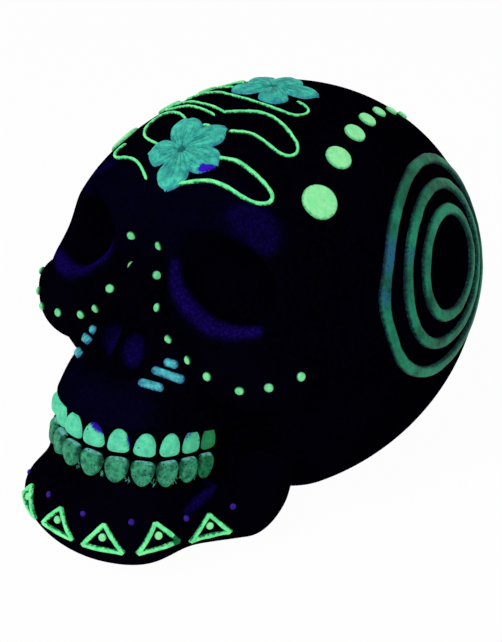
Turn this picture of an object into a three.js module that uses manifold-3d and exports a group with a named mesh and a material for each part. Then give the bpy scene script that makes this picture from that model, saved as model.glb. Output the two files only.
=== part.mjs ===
// Decorated sugar skull, about 160 mm long, cast in dark resin with painted relief.
// Millimetres, +Z up. +X is the skull's left, -Y is the way it faces, and it stands on z = 0.
import * as THREE from "three";
import { mergeVertices } from "three/addons/utils/BufferGeometryUtils.js";
import Module from "manifold-3d";

const wasm = await Module();
wasm.setup();

// Driving sizes
const SKULL_BREADTH = 113;
const SKULL_LENGTH = 160;
const SKULL_HEIGHT = 114;
const CLEARANCE = 0.3;
const FACET_ERROR = 0.32;
const HOLLOW_FACET_ERROR = 0.17;
const SHORTEST_EDGE = 1.8;

// Teeth
// The upper biting edge at the front, as shares of half the breadth, half the length and the height
const BITE_SHARES = [0, -0.865, 0.345];
const OCCLUSAL_TILT = 11.5;
const BITE_GAP = 1.4;
const UPPER_CROWN_HEIGHT = 6.9;
const LOWER_CROWN_HEIGHT = 7.4;
const CROWN_DEPTH = 3.6;
const CROWN_PROUD = 1.5;
const CROWN_BEVEL = 0.8;
const TOOTH_WIDTHS = [7.4, 7, 7, 6.8, 6.2, 5.2];
const TOOTH_GAP = 0.5;
const ARCH_SEGMENTS = 24;
const ARCH_SHARES = [
  [0, 0], [0.122, 0.0115], [0.226, 0.052], [0.32, 0.1],
  [0.369, 0.178], [0.394, 0.254], [0.411, 0.322], [0.424, 0.39],
];
const STRIP_FACE = 0;
const STRIP_EDGE = 1.2;
const MOUTH_REACH = 8;
const MOUTH_DEPTH = 36;
const NECK_SHARE = 0.74;
const NECK_TALL_SHARE = 0.86;
const CROWN_BELLY_SHARE = 0.4;
const CROWN_CORNER_SHARE = 0.45;
const CROWN_TOP_SHARE = 1.12;
const CROWN_CURVE_STEPS = 2;
const CROWN_BEVEL_STEPS = 1;

// Relief laid on the casting
const DOT_HEIGHT = 0.9;
const CHEEK_DOT_DIAMETER = 2.4;
const CHEEK_DOT_RISE_SHARE = 0.7;
const JAW_DOT_DIAMETER = 2;
const BLADE_DOT_DIAMETER = 2.3;
const DASH_WIDTH = 2.3;
const FLOWER_HEIGHT = 1.8;
// Reach of a full petal across and along the head, as shares of half its breadth and half its length
const FLOWER_REACH_SHARES = [0.213, 0.15];
const PETAL_STEPS = 8;
const PETAL_NOTCH_SHARE = 0.56;
const PETAL_CREASE_SHARE = 0.5;
const FLOWER_HEART_SHARE = 0.45;
const FLOWER_RING_SHARES = [0.22, 0.6, 1];
const RING_WIDTH = 3.6;
const RING_HEIGHT = 1.1;
const RING_INNER_RADIUS = 15;
const RING_PITCH = 7.6;
const RING_SPACING = 5.2;
const SCROLL_WIDTH = 1.25;
const SCROLL_HEIGHT = 0.9;
const SCROLL_SPACING = 2.4;
// Side and height of a jaw triangle, as shares of half the length and of the height
const BLADE_REACH_SHARES = [0.144, 0.058];
const BLADE_LINE = 1.4;
const BLADE_SIDE_STEPS = 4;
const TEMPLE_DOT_DIAMETERS = [9.8, 7.4, 6.2, 5.2, 4.2, 3.5, 3];
const DOT_STEPS = 10;
const DOT_RING_SHARES = [0.62, 1];
const DOME_SHARE = 0.75;
const BEAD_SECTION_SHARES = [[-0.5, 0], [-0.3, 1], [0.3, 1], [0.5, 0]];
const TAPER_SHARE = 0.5;
const MITRE_SHARE = 0.4;

const HALF_BREADTH = SKULL_BREADTH / 2;
const HALF_LENGTH = SKULL_LENGTH / 2;

// How closely the skin is followed
const WALK_STEPS = 90;
const WALK_SHARE = 0.75;
const TOUCH = CLEARANCE / 300;
const PROBE = CLEARANCE / 3;
const CHART_STAND = SKULL_BREADTH / 4;

// Masses of the skull, in the order they are laid on or carved out
// Places and radii are shares of half the breadth, half the length and the height
// A bar's radii and every blend are shares of half the breadth, and turns are in degrees
const CRANIUM_SHARES = [
  { op: "join", at: [0, 0.109, 0.479], radii: [1, 0.895, 0.522], turn: [-4.7, 0, 0], blend: 0.01 },
  { op: "plane", at: [0, -0.55, 0.833], lean: 14.4, blend: 0.18 },
  { op: "plane", at: [0, -0.6, 0.52], lean: -30, blend: 0.16 },
  { op: "carve", at: [1.05, -0.43, 0.7], radii: [0.3, 0.3, 0.17], turn: [0, 0, 0], blend: 0.18 },
  { op: "carve", at: [0, -0.675, 0.715], radii: [0.2, 0.172, 0.12], turn: [0, 0, 0], blend: 0.08 },
  { op: "bar", at: [0, -0.469, 0.78], to: [0, -0.585, 0.655], radii: [0.048, 0.064], blend: 0.07 },
  { op: "bar", at: [0, -0.57, 0.66], to: [0, -0.58, 0.545], radii: [0.075, 0.165], blend: 0.08 },
  { op: "join", at: [0.27, -0.47, 0.83], radii: [0.21, 0.06, 0.035], turn: [-25, 12, 14], blend: 0.12 },
  { op: "join", at: [0.56, -0.525, 0.505], radii: [0.21, 0.08, 0.06], turn: [0, 0, 25], blend: 0.12 },
  { op: "bar", at: [0.77, -0.415, 0.515], to: [0.87, -0.2, 0.5], radii: [0.088, 0.07], blend: 0.14 },
  { op: "join", at: [0, -0.53, 0.385], radii: [0.402, 0.33, 0.165], turn: [0, 0, 0], blend: 0.1 },
  { op: "join", at: [0, -0.54, 0.33], radii: [0.485, 0.335, 0.09], turn: [0, 0, 0], blend: 0.12 },
  { op: "carve", at: [0.49, -0.585, 0.75], radii: [0.27, 0.27, 0.097], turn: [-20, 26, 18], blend: 0.07 },
  { op: "carve", at: [0.07, -0.733, 0.562], radii: [0.078, 0.112, 0.088], turn: [-22, -12, 0], blend: 0.035 },
];
const JAW_BODY_SHARES = [
  { op: "join", at: [0, -0.8, 0.137], radii: [0.445, 0.19, 0.106], turn: [0, 0, 0], blend: 0.01 },
  { op: "bar", at: [0.235, -0.725, 0.14], to: [0.47, -0.45, 0.124], radii: [0.17, 0.175], blend: 0.15 },
  { op: "join", at: [0, -0.475, 0.16], radii: [0.46, 0.33, 0.14], turn: [0, 0, 0], blend: 0.12 },
  { op: "join", at: [0, -0.54, 0.26], radii: [0.48, 0.335, 0.09], turn: [0, 0, 0], blend: 0.12 },
];
const RAMUS_SHARES = { at: [0.51, -0.365, 0.16], to: [0.64, -0.2, 0.4], radii: [0.125, 0.09], blend: 0.12 };

// Centres the two castings are seen from, as shares, and how each surface is first divided
const CRANIUM_HEART_SHARES = [0, 0.02, 0.48];
const JAW_HEART_SHARES = [0, -0.55, 0.17];
const CRANIUM_DIVISIONS = 8;
const JAW_DIVISIONS = 5;
const REFINEMENTS = 3;

// Places of the relief
const CHEEK_DOT_SHARES = [
  [0.087, 0.769], [0.079, 0.696], [0.151, 0.64], [0.234, 0.579], [0.345, 0.543],
  [0.48, 0.53], [0.635, 0.514], [0.74, 0.524], [0.834, 0.544],
];
const DASH_SHARES = [
  { at: [0.25, 0.519], length: 0.072, tilt: -14 },
  { at: [0.262, 0.499], length: 0.16, tilt: -28 },
  { at: [0.235, 0.487], length: 0.12, tilt: -23 },
];
// Each petal has a bearing in degrees and a reach
const FLOWERS = {
  front_flower: {
    atShares: [-0.012, -0.336],
    petals: [
      { bearing: 66.5, reachShare: 1.08 },
      { bearing: 121, reachShare: 1.18 },
      { bearing: 202, reachShare: 0.78 },
      { bearing: 288, reachShare: 1.08 },
      { bearing: 356, reachShare: 0.96 },
    ],
  },
  crown_flower: {
    atShares: [-0.01, 0.13],
    petals: [
      { bearing: 29, reachShare: 1 },
      { bearing: 94, reachShare: 1 },
      { bearing: 149, reachShare: 1.1 },
      { bearing: 215, reachShare: 0.9 },
      { bearing: 308, reachShare: 0.87 },
    ],
  },
};
const TEMPLE_DOT_SHARES = [
  [0.61, -0.175], [0.527, 0], [0.462, 0.151], [0.409, 0.275],
  [0.358, 0.396], [0.317, 0.515], [0.3, 0.605],
];
const SCROLL_SHARES = {
  left_front_scroll: [
    [0.19, -0.3], [0.25, -0.283], [0.34, -0.28], [0.42, -0.282], [0.468, -0.292], [0.474, -0.312],
    [0.44, -0.342], [0.377, -0.361], [0.298, -0.37], [0.215, -0.386], [0.159, -0.41], [0.118, -0.43],
  ],
  left_middle_scroll: [
    [0.125, -0.187], [0.188, -0.164], [0.243, -0.16], [0.305, -0.162], [0.36, -0.162], [0.398, -0.146],
    [0.408, -0.118], [0.384, -0.09], [0.324, -0.069], [0.235, -0.049], [0.171, -0.046], [0.119, -0.053],
    [0.067, -0.074], [0.027, -0.092], [-0.014, -0.112],
  ],
  crown_scroll: [
    [0.185, 0.102], [0.225, 0.1], [0.258, 0.082], [0.262, 0.05], [0.24, 0.02], [0.17, 0.006],
    [0.088, -0.002], [0, -0.003], [-0.07, 0], [-0.142, 0.01], [-0.23, 0.028], [-0.319, 0.038],
    [-0.39, 0.03], [-0.43, 0.012],
  ],
  left_petal_scroll: [[-0.04, -0.207], [-0.022, -0.205], [-0.004, -0.206]],
  right_front_scroll: [
    [-0.1, -0.45], [-0.177, -0.415], [-0.25, -0.39], [-0.32, -0.375], [-0.4, -0.36],
    [-0.46, -0.33], [-0.48, -0.3], [-0.45, -0.28],
  ],
  right_middle_scroll: [
    [-0.2, -0.32], [-0.27, -0.3], [-0.33, -0.275], [-0.39, -0.23], [-0.425, -0.18],
    [-0.42, -0.13], [-0.37, -0.125], [-0.3, -0.14], [-0.24, -0.16], [-0.2, -0.178],
  ],
  right_rear_scroll: [
    [-0.04, -0.112], [-0.12, -0.095], [-0.2, -0.08], [-0.345, -0.045], [-0.44, -0.03], [-0.475, -0.05],
    [-0.44, -0.078], [-0.37, -0.088], [-0.29, -0.092], [-0.2, -0.11], [-0.12, -0.128], [-0.05, -0.145],
  ],
  right_crown_scroll: [
    [-0.24, 0.098], [-0.31, 0.108], [-0.36, 0.13], [-0.372, 0.156], [-0.34, 0.178], [-0.28, 0.184],
  ],
};
// The rings lie round a point on the side of the head
const RING_CENTRE_SHARES = [0.293, 0.641];
// They are a little longer than tall, and lean back by a share of their height
const RING_REACH_SHARES = [1.03, 0.89];
const RING_LEAN_SHARE = 0.18;
// Along the jaw, each place is a bearing in degrees from the front to the left and a share of the height
const BLADE_PLACES = {
  chin: { bearing: -1.8, heightShare: 0.166 },
  left_jaw_1: { bearing: 22.2, heightShare: 0.164 },
  left_jaw_2: { bearing: 46.6, heightShare: 0.167 },
  left_jaw_3: { bearing: 75, heightShare: 0.137 },
  right_jaw_1: { bearing: -27, heightShare: 0.157 },
  right_jaw_2: { bearing: -53, heightShare: 0.13 },
  right_jaw_3: { bearing: -80, heightShare: 0.13 },
};
const JAW_DOT_PLACES = [
  { bearing: 10.5, heightShare: 0.198 },
  { bearing: 34.5, heightShare: 0.198 },
  { bearing: 62, heightShare: 0.174 },
  { bearing: 88, heightShare: 0.17 },
  { bearing: -13, heightShare: 0.198 },
  { bearing: -40, heightShare: 0.18 },
  { bearing: -67, heightShare: 0.165 },
  { bearing: -92, heightShare: 0.17 },
];

const degrees = THREE.MathUtils.degToRad;
const above = new THREE.Vector3(0, 0, 1);
const backward = new THREE.Vector3(0, 1, 0);
const place = ([x, y, z]) => new THREE.Vector3(x * HALF_BREADTH, y * HALF_LENGTH, z * SKULL_HEIGHT);

// Distances to the masses, negative inside

function ellipsoidDepth({ at, radii, turn }) {
  const centre = place(at);
  const size = place(radii);
  const order = new THREE.Euler(...turn.map(degrees), "ZYX");
  const back = new THREE.Matrix4().makeRotationFromEuler(order).transpose();
  const local = new THREE.Vector3();
  return (point) => {
    local.copy(point).sub(centre).applyMatrix4(back).divide(size);
    const reach = local.length();
    return (reach * (reach - 1)) / local.divide(size).length();
  };
}

function barDepth({ at, to, radii }) {
  const start = place(at);
  const run = place(to).sub(start);
  const [first, last] = radii.map((share) => share * HALF_BREADTH);
  const local = new THREE.Vector3();
  return (point) => {
    local.copy(point).sub(start);
    const along = THREE.MathUtils.clamp(local.dot(run) / run.lengthSq(), 0, 1);
    return local.addScaledVector(run, -along).length() - THREE.MathUtils.lerp(first, last, along);
  };
}

function planeDepth({ at, lean }) {
  const foot = place(at);
  const upright = Math.cos(degrees(lean));
  const slope = Math.sin(degrees(lean));
  return (point) => (point.y - foot.y) * upright - (point.z - foot.z) * slope;
}

const DEPTHS = { join: ellipsoidDepth, carve: ellipsoidDepth, bar: barDepth, plane: planeDepth };

function smoothJoin(a, b, reach) {
  const overlap = Math.max(reach - Math.abs(a - b), 0) / reach;
  return Math.min(a, b) - (overlap * overlap * reach) / 4;
}

// One smooth body from its masses, the same on both sides of the head
function moulded(shares) {
  const layers = shares.map((share) => ({
    cuts: share.op === "carve" || share.op === "plane",
    depth: DEPTHS[share.op](share),
    reach: share.blend * HALF_BREADTH,
  }));
  const mirrored = new THREE.Vector3();
  return (point) => {
    mirrored.set(Math.abs(point.x), point.y, point.z);
    return layers.reduce((made, { cuts, depth, reach }) => {
      const near = depth(mirrored);
      return cuts ? -smoothJoin(-made, near, reach) : smoothJoin(made, near, reach);
    }, Infinity);
  };
}

const craniumBody = moulded(CRANIUM_SHARES);
const jawBody = moulded([...JAW_BODY_SHARES, { op: "bar", ...RAMUS_SHARES }]);

// Walks from outside along a direction to where the body reaches the given level
function strike(body, origin, direction, level = 0) {
  const point = origin.clone();
  for (let step = 0; step < WALK_STEPS; step++) {
    const gap = body(point) - level;
    if (gap < TOUCH) break;
    point.addScaledVector(direction, gap * WALK_SHARE);
  }
  return point;
}

function normalAt(body, point) {
  const slope = ["x", "y", "z"].map((axis) => {
    const ahead = point.clone();
    const behind = point.clone();
    ahead[axis] += PROBE;
    behind[axis] -= PROBE;
    return body(ahead) - body(behind);
  });
  return new THREE.Vector3(...slope).normalize();
}

// Solids and booleans

function solid(geometry) {
  const bare = new THREE.BufferGeometry().setAttribute("position", geometry.getAttribute("position"));
  bare.setIndex(geometry.getIndex());
  const merged = mergeVertices(bare);
  return new wasm.Manifold(
    new wasm.Mesh({
      numProp: 3,
      vertProperties: new Float32Array(merged.getAttribute("position").array),
      triVerts: new Uint32Array(merged.getIndex().array),
    }),
  );
}

function geometryOf(manifold) {
  const { vertProperties, triVerts } = manifold.getMesh();
  const geometry = new THREE.BufferGeometry();
  geometry.setAttribute("position", new THREE.BufferAttribute(vertProperties, 3));
  geometry.setIndex(new THREE.BufferAttribute(triVerts, 1));
  geometry.computeVertexNormals();
  return geometry;
}

function facesOf(points, faces) {
  const geometry = new THREE.BufferGeometry().setFromPoints(points);
  geometry.setIndex(faces);
  geometry.computeVertexNormals();
  return geometry;
}

// The body's skin seen from its heart: an even net, split again where an edge strays from the body,
// and more closely in hollows, where a straight edge would stand proud of it
function skin(body, heartShares, divisions, level = 0) {
  const heart = place(heartShares);
  const ball = new THREE.IcosahedronGeometry(1, divisions).getAttribute("position");
  const seed = mergeVertices(new THREE.BufferGeometry().setAttribute("position", ball));
  const directions = [];
  const points = [];
  const land = (direction) => {
    const start = heart.clone().addScaledVector(direction, SKULL_LENGTH);
    directions.push(direction);
    points.push(strike(body, start, direction.clone().negate(), level));
    return points.length - 1;
  };
  const given = seed.getAttribute("position");
  for (let i = 0; i < given.count; i++) {
    land(new THREE.Vector3().fromBufferAttribute(given, i).normalize());
  }
  let faces = [];
  const index = seed.getIndex().array;
  for (let i = 0; i < index.length; i += 3) faces.push([index[i], index[i + 1], index[i + 2]]);
  for (let round = 0; round < REFINEMENTS; round++) {
    const middles = new Map();
    const middle = (i, j) => {
      const key = Math.min(i, j) + "_" + Math.max(i, j);
      if (!middles.has(key)) middles.set(key, splitEdge(i, j));
      return middles.get(key);
    };
    const splitEdge = (i, j) => {
      const span = points[i].distanceTo(points[j]);
      if (span < SHORTEST_EDGE) return null;
      const chord = points[i].clone().lerp(points[j], 0.5);
      const direction = directions[i].clone().add(directions[j]).normalize();
      const start = heart.clone().addScaledVector(direction, SKULL_LENGTH);
      const point = strike(body, start, direction.clone().negate(), level);
      const allowed = body(chord) > level ? HOLLOW_FACET_ERROR : FACET_ERROR;
      if (point.distanceTo(chord) < allowed) return null;
      directions.push(direction);
      points.push(point);
      return points.length - 1;
    };
    faces = faces.flatMap((face) => divided(face, middle));
  }
  return solid(facesOf(points, faces.flat()));
}

// A face split at those of its edges that have a middle point
function divided([a, b, c], middle) {
  const [ab, bc, ca] = [middle(a, b), middle(b, c), middle(c, a)];
  const count = [ab, bc, ca].filter((point) => point !== null).length;
  if (count === 0) return [[a, b, c]];
  if (count === 3) return [[a, ab, ca], [ab, b, bc], [ca, bc, c], [ab, bc, ca]];
  if (count === 1) {
    if (ab !== null) return [[a, ab, c], [ab, b, c]];
    if (bc !== null) return [[a, b, bc], [a, bc, c]];
    return [[a, b, ca], [ca, b, c]];
  }
  if (ab === null) return [[a, b, bc], [a, bc, ca], [ca, bc, c]];
  if (bc === null) return [[a, ab, ca], [ab, b, ca], [ca, b, c]];
  return [[a, ab, c], [ab, bc, c], [ab, b, bc]];
}

// Teeth, laid along one arch that both jaws share

const archPoint = (side) => ([x, y]) => place([side * x, y, 0]);
const archCurve = new THREE.CatmullRomCurve3([
  ...ARCH_SHARES.slice(1).reverse().map(archPoint(-1)),
  ...ARCH_SHARES.map(archPoint(1)),
]);

const archFrame = (share) => {
  const along = archCurve.getTangentAt(share);
  return { foot: archCurve.getPointAt(share), along, outward: new THREE.Vector3(along.y, -along.x, 0) };
};

// A line of points along the arch, moved outwards by an offset and stopped short at both ends
function archLine(offset, short) {
  const end = short / archCurve.getLength();
  return Array.from({ length: ARCH_SEGMENTS + 1 }, (_, i) => {
    const { foot, outward } = archFrame(THREE.MathUtils.lerp(end, 1 - end, i / ARCH_SEGMENTS));
    return new THREE.Vector2(foot.x + outward.x * offset, foot.y + outward.y * offset);
  });
}

// A strip that follows the arch between two offsets, standing between two heights
function archStrip(inner, outer, bottom, top, short) {
  const outline = new THREE.Shape([...archLine(outer, short), ...archLine(inner, short).reverse()]);
  const strip = new THREE.ExtrudeGeometry(outline, { depth: top - bottom, bevelEnabled: false });
  return strip.translate(0, 0, bottom);
}

// A crown seen from its front: its biting edge at the bottom has rounded corners, and its neck is narrower
function crownOutline(width, tall) {
  const edge = width / 2;
  const neck = edge * NECK_SHARE;
  const corner = edge * CROWN_CORNER_SHARE;
  const belly = tall * CROWN_BELLY_SHARE;
  const shape = new THREE.Shape();
  shape.moveTo(neck, tall * NECK_TALL_SHARE);
  shape.quadraticCurveTo(0, tall * CROWN_TOP_SHARE, -neck, tall * NECK_TALL_SHARE);
  shape.lineTo(-edge, belly);
  shape.quadraticCurveTo(-edge, 0, -corner, 0);
  shape.lineTo(corner, 0);
  shape.quadraticCurveTo(edge, 0, edge, belly);
  shape.closePath();
  return shape;
}

function crown(width, tall) {
  const bevel = CROWN_BEVEL;
  const body = new THREE.ExtrudeGeometry(crownOutline(width - 2 * bevel, tall - 2 * bevel), {
    depth: CROWN_DEPTH - 2 * bevel,
    bevelThickness: bevel,
    bevelSize: bevel,
    bevelSegments: CROWN_BEVEL_STEPS,
    curveSegments: CROWN_CURVE_STEPS,
  });
  return body.translate(0, bevel, CROWN_PROUD - CROWN_DEPTH + bevel);
}

// A row of crowns on the strip that joins them: biting edges at height 0, necks up or, in the lower row, down
function toothRow(tall, isLower) {
  const widths = [...TOOTH_WIDTHS].reverse().concat(TOOTH_WIDTHS);
  const length = archCurve.getLength();
  const short = (length - widths.reduce((sum, width) => sum + width, 0)) / 2;
  const [bottom, top] = isLower ? [-tall, -STRIP_EDGE] : [STRIP_EDGE, tall];
  let row = solid(archStrip(CROWN_PROUD - CROWN_DEPTH, STRIP_FACE, bottom, top, short + TOOTH_GAP));
  let passed = short;
  for (const width of widths) {
    const { foot, along, outward } = archFrame((passed + width / 2) / length);
    const stand = new THREE.Matrix4().makeBasis(along, above, outward).setPosition(foot);
    const tooth = crown(width - TOOTH_GAP, tall);
    if (isLower) tooth.rotateZ(Math.PI);
    row = row.add(solid(tooth.applyMatrix4(stand)));
    passed += width;
  }
  return geometryOf(row);
}

// Relief that follows the skin

// Where a line from outside meets a body, lifted by the clearance
function seat(body, origin, direction) {
  const point = strike(body, origin, direction);
  const normal = normalAt(body, point);
  return { point: point.addScaledVector(normal, CLEARANCE), normal };
}

const seatFromAbove = (x, y) =>
  seat(craniumBody, new THREE.Vector3(x, y, 2 * SKULL_HEIGHT), above.clone().negate());

const seatFromFront = (x, z) => seat(craniumBody, new THREE.Vector3(x, -SKULL_LENGTH, z), backward);

const seatFromSide = (side, y, z) =>
  seat(craniumBody, new THREE.Vector3(side * SKULL_BREADTH, y, z), new THREE.Vector3(-side, 0, 0));

function seatOnJaw({ bearing, heightShare }) {
  const outward = new THREE.Vector3(Math.sin(degrees(bearing)), -Math.cos(degrees(bearing)), 0);
  const start = place(JAW_HEART_SHARES).setZ(heightShare * SKULL_HEIGHT);
  start.addScaledVector(outward, SKULL_LENGTH);
  return seat(jawBody, start, outward.negate());
}

// A flat chart round a seat: lengths across and up it are laid on the body square to the seat
function chart(body, { point, normal }, upward = above) {
  const across = upward.clone().cross(normal).normalize();
  const up = normal.clone().cross(across);
  return (s, t) => {
    const start = point.clone().addScaledVector(across, s).addScaledVector(up, t);
    return seat(body, start.addScaledVector(normal, CHART_STAND), normal.clone().negate());
  };
}

const circle = (radius, steps) =>
  Array.from({ length: steps }, (_, i) => {
    const turn = (2 * Math.PI * i) / steps;
    return [radius * Math.cos(turn), radius * Math.sin(turn)];
  });

// A raised patch inside an outline: rings of points from middle to edge, over the same rings on the skin
function patch(land, outline, rise, ringShares) {
  const count = outline.length;
  const points = [];
  const layer = (lifted) => {
    const centre = land(0, 0);
    points.push(centre.point.clone().addScaledVector(centre.normal, lifted ? rise(0, 0) : 0));
    for (const share of ringShares) {
      outline.forEach(([s, t], i) => {
        const { point, normal } = land(s * share, t * share);
        points.push(point.addScaledVector(normal, lifted ? rise(share, i / count) : 0));
      });
    }
  };
  layer(true);
  layer(false);
  const under = 1 + count * ringShares.length;
  const faces = [];
  for (let i = 0; i < count; i++) {
    const j = (i + 1) % count;
    faces.push(0, 1 + i, 1 + j);
    faces.push(under, under + 1 + j, under + 1 + i);
    for (let ring = 1; ring < ringShares.length; ring++) {
      const inner = 1 + (ring - 1) * count;
      const outer = 1 + ring * count;
      faces.push(inner + i, outer + i, outer + j, inner + i, outer + j, inner + j);
      faces.push(under + inner + i, under + outer + j, under + outer + i);
      faces.push(under + inner + i, under + inner + j, under + outer + j);
    }
    const edge = 1 + (ringShares.length - 1) * count;
    faces.push(edge + i, under + edge + i, under + edge + j, edge + i, under + edge + j, edge + j);
  }
  return facesOf(points, faces);
}

const dome = (height) => (share) => height * Math.sqrt(1 - DOME_SHARE * share * share);

function roundDot(body, place, diameter, steps) {
  return patch(chart(body, place), circle(diameter / 2, steps), dome(DOT_HEIGHT), DOT_RING_SHARES);
}

// A raised line with a domed section along seats, closed or with tapered ends
function bead(stations, width, height, closed) {
  const points = [];
  const last = stations.length - 1;
  stations.forEach(({ point, normal }, i) => {
    const before = stations[closed ? (i + last) % (last + 1) : Math.max(i - 1, 0)].point;
    const after = stations[closed ? (i + 1) % (last + 1) : Math.min(i + 1, last)].point;
    const coming = point.clone().sub(before).normalize();
    const going = after.clone().sub(point).normalize();
    const tangent = coming.clone().add(going).normalize();
    const inward = normal.clone().cross(tangent).normalize();
    const mitre = 1 / Math.max(going.length() && coming.length() ? going.dot(tangent) : 1, MITRE_SHARE);
    const taper = !closed && (i === 0 || i === last) ? TAPER_SHARE : 1;
    for (const [aside, lift] of BEAD_SECTION_SHARES) {
      points.push(
        point
          .clone()
          .addScaledVector(inward, aside * width * mitre * taper)
          .addScaledVector(normal, lift * height * taper),
      );
    }
  });
  const around = BEAD_SECTION_SHARES.length;
  const faces = [];
  const spans = closed ? last + 1 : last;
  for (let i = 0; i < spans; i++) {
    const here = i * around;
    const next = ((i + 1) % (last + 1)) * around;
    for (let k = 0; k < around; k++) {
      const m = (k + 1) % around;
      faces.push(here + k, next + k, next + m, here + k, next + m, here + m);
    }
  }
  if (!closed) {
    for (let k = 1; k < around - 1; k++) {
      faces.push(0, k, k + 1);
      faces.push(last * around, last * around + k + 1, last * around + k);
    }
  }
  return facesOf(points, faces);
}

// The two castings

// The bite's own frame starts on the upper biting edge at the front, and the arch runs back and slightly down
const bite = new THREE.Group();
bite.position.copy(place(BITE_SHARES));
bite.rotation.x = -degrees(OCCLUSAL_TILT);
bite.updateMatrixWorld(true);

const box = (width, length, height) => new THREE.BoxGeometry(width, length, height);

// Everything below the bite and in front of the throat, less a margin
function mouthCut(margin) {
  const back = MOUTH_DEPTH - margin;
  const top = -BITE_GAP / 2 - margin;
  const cut = box(2 * SKULL_BREADTH, SKULL_LENGTH, SKULL_HEIGHT);
  cut.translate(0, back - SKULL_LENGTH / 2, top - SKULL_HEIGHT / 2);
  return solid(cut.applyMatrix4(bite.matrixWorld));
}

// The slot round both jaws that holds the teeth
function toothSlot() {
  const inner = CROWN_PROUD - CROWN_DEPTH - CLEARANCE;
  const bottom = -BITE_GAP - LOWER_CROWN_HEIGHT - CLEARANCE;
  const top = UPPER_CROWN_HEIGHT + CLEARANCE;
  return solid(archStrip(inner, MOUTH_REACH, bottom, top, 0).applyMatrix4(bite.matrixWorld));
}

const ground = box(2 * SKULL_BREADTH, 2 * SKULL_LENGTH, SKULL_HEIGHT);
const floor = solid(ground.translate(0, 0, -SKULL_HEIGHT / 2));

// A dot cast in one with the skin
function castDot({ point, normal }, diameter) {
  const turn = new THREE.Quaternion().setFromUnitVectors(above, normal);
  const size = new THREE.Vector3(diameter, diameter, diameter * CHEEK_DOT_RISE_SHARE).divideScalar(2);
  const foot = point.clone().addScaledVector(normal, -CLEARANCE);
  const stand = new THREE.Matrix4().compose(foot, turn, size);
  return solid(new THREE.IcosahedronGeometry(1, 1).applyMatrix4(stand));
}

const sides = [1, -1];

function cranium() {
  let body = skin(craniumBody, CRANIUM_HEART_SHARES, CRANIUM_DIVISIONS);
  body = body.subtract(mouthCut(0)).subtract(toothSlot()).subtract(floor);
  for (const side of sides) {
    for (const [x, z] of CHEEK_DOT_SHARES) {
      const foot = seatFromFront(side * x * HALF_BREADTH, z * SKULL_HEIGHT);
      body = body.add(castDot(foot, CHEEK_DOT_DIAMETER));
    }
  }
  return geometryOf(body);
}

function mandible() {
  const grown = skin(craniumBody, CRANIUM_HEART_SHARES, CRANIUM_DIVISIONS, CLEARANCE);
  const kept = grown.subtract(mouthCut(CLEARANCE));
  let body = skin(jawBody, JAW_HEART_SHARES, JAW_DIVISIONS);
  body = body.subtract(kept).subtract(toothSlot()).subtract(floor);
  for (const spot of JAW_DOT_PLACES) body = body.add(castDot(seatOnJaw(spot), JAW_DOT_DIAMETER));
  return geometryOf(body);
}

// Each kind of relief

// Petals swell from the heart of the flower and fall to a crease between each two
function flower({ atShares: [x, y], petals }) {
  const petal = (share) => Math.abs(Math.cos(petals.length * Math.PI * share));
  const [across, along] = [FLOWER_REACH_SHARES[0] * HALF_BREADTH, FLOWER_REACH_SHARES[1] * HALF_LENGTH];
  const outline = petals.flatMap(({ bearing, reachShare }, i) => {
    const next = petals[(i + 1) % petals.length];
    const gap = THREE.MathUtils.euclideanModulo(next.bearing - bearing, 360);
    return Array.from({ length: PETAL_STEPS }, (_, step) => {
      const passed = step / PETAL_STEPS;
      const tip = passed < 0.5 ? reachShare : next.reachShare;
      const swell = Math.sqrt(Math.abs(Math.cos(Math.PI * passed)));
      const reach = THREE.MathUtils.lerp(PETAL_NOTCH_SHARE, tip, swell);
      const angle = degrees(bearing + gap * passed);
      return [reach * across * Math.cos(angle), reach * along * Math.sin(angle)];
    });
  });
  const rise = (reach, share) => {
    if (reach === 0) return FLOWER_HEIGHT * FLOWER_HEART_SHARE;
    const crease = THREE.MathUtils.lerp(PETAL_CREASE_SHARE, 1, petal(share));
    return FLOWER_HEIGHT * crease * Math.sqrt(1 - DOME_SHARE * reach * reach);
  };
  const foot = seatFromAbove(x * HALF_BREADTH, y * HALF_LENGTH);
  return patch(chart(craniumBody, foot, backward), outline, rise, FLOWER_RING_SHARES);
}

function sideRing(side, radius) {
  const [y, z] = RING_CENTRE_SHARES;
  const land = chart(craniumBody, seatFromSide(side, y * HALF_LENGTH, z * SKULL_HEIGHT));
  const steps = Math.round((2 * Math.PI * radius) / RING_SPACING);
  const [long, tall] = RING_REACH_SHARES;
  const lean = side * RING_LEAN_SHARE;
  const stations = circle(radius, steps).map(([s, t]) => land(long * s + lean * t, tall * t));
  return bead(stations, RING_WIDTH, RING_HEIGHT, true);
}

function scroll(shares) {
  const route = new THREE.CatmullRomCurve3(shares.map(([x, y]) => place([x, y, 0])));
  const steps = Math.round(route.getLength() / SCROLL_SPACING);
  const stations = route.getSpacedPoints(steps).map(({ x, y }) => seatFromAbove(x, y));
  return bead(stations, SCROLL_WIDTH, SCROLL_HEIGHT, false);
}

function blade(foot) {
  const reach = (BLADE_REACH_SHARES[0] * HALF_LENGTH) / 2;
  const rise = (BLADE_REACH_SHARES[1] * SKULL_HEIGHT) / 2;
  const corners = [[-reach, -rise], [reach, -rise], [0, rise]].map(([x, y]) => new THREE.Vector2(x, y));
  const outline = corners.flatMap((corner, i) => {
    const next = corners[(i + 1) % corners.length];
    const steps = Array.from({ length: BLADE_SIDE_STEPS }, (_, step) => step / BLADE_SIDE_STEPS);
    return steps.map((share) => corner.clone().lerp(next, share));
  });
  const land = chart(jawBody, foot);
  return bead(outline.map(({ x, y }) => land(x, y)), BLADE_LINE, DOT_HEIGHT, true);
}

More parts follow.
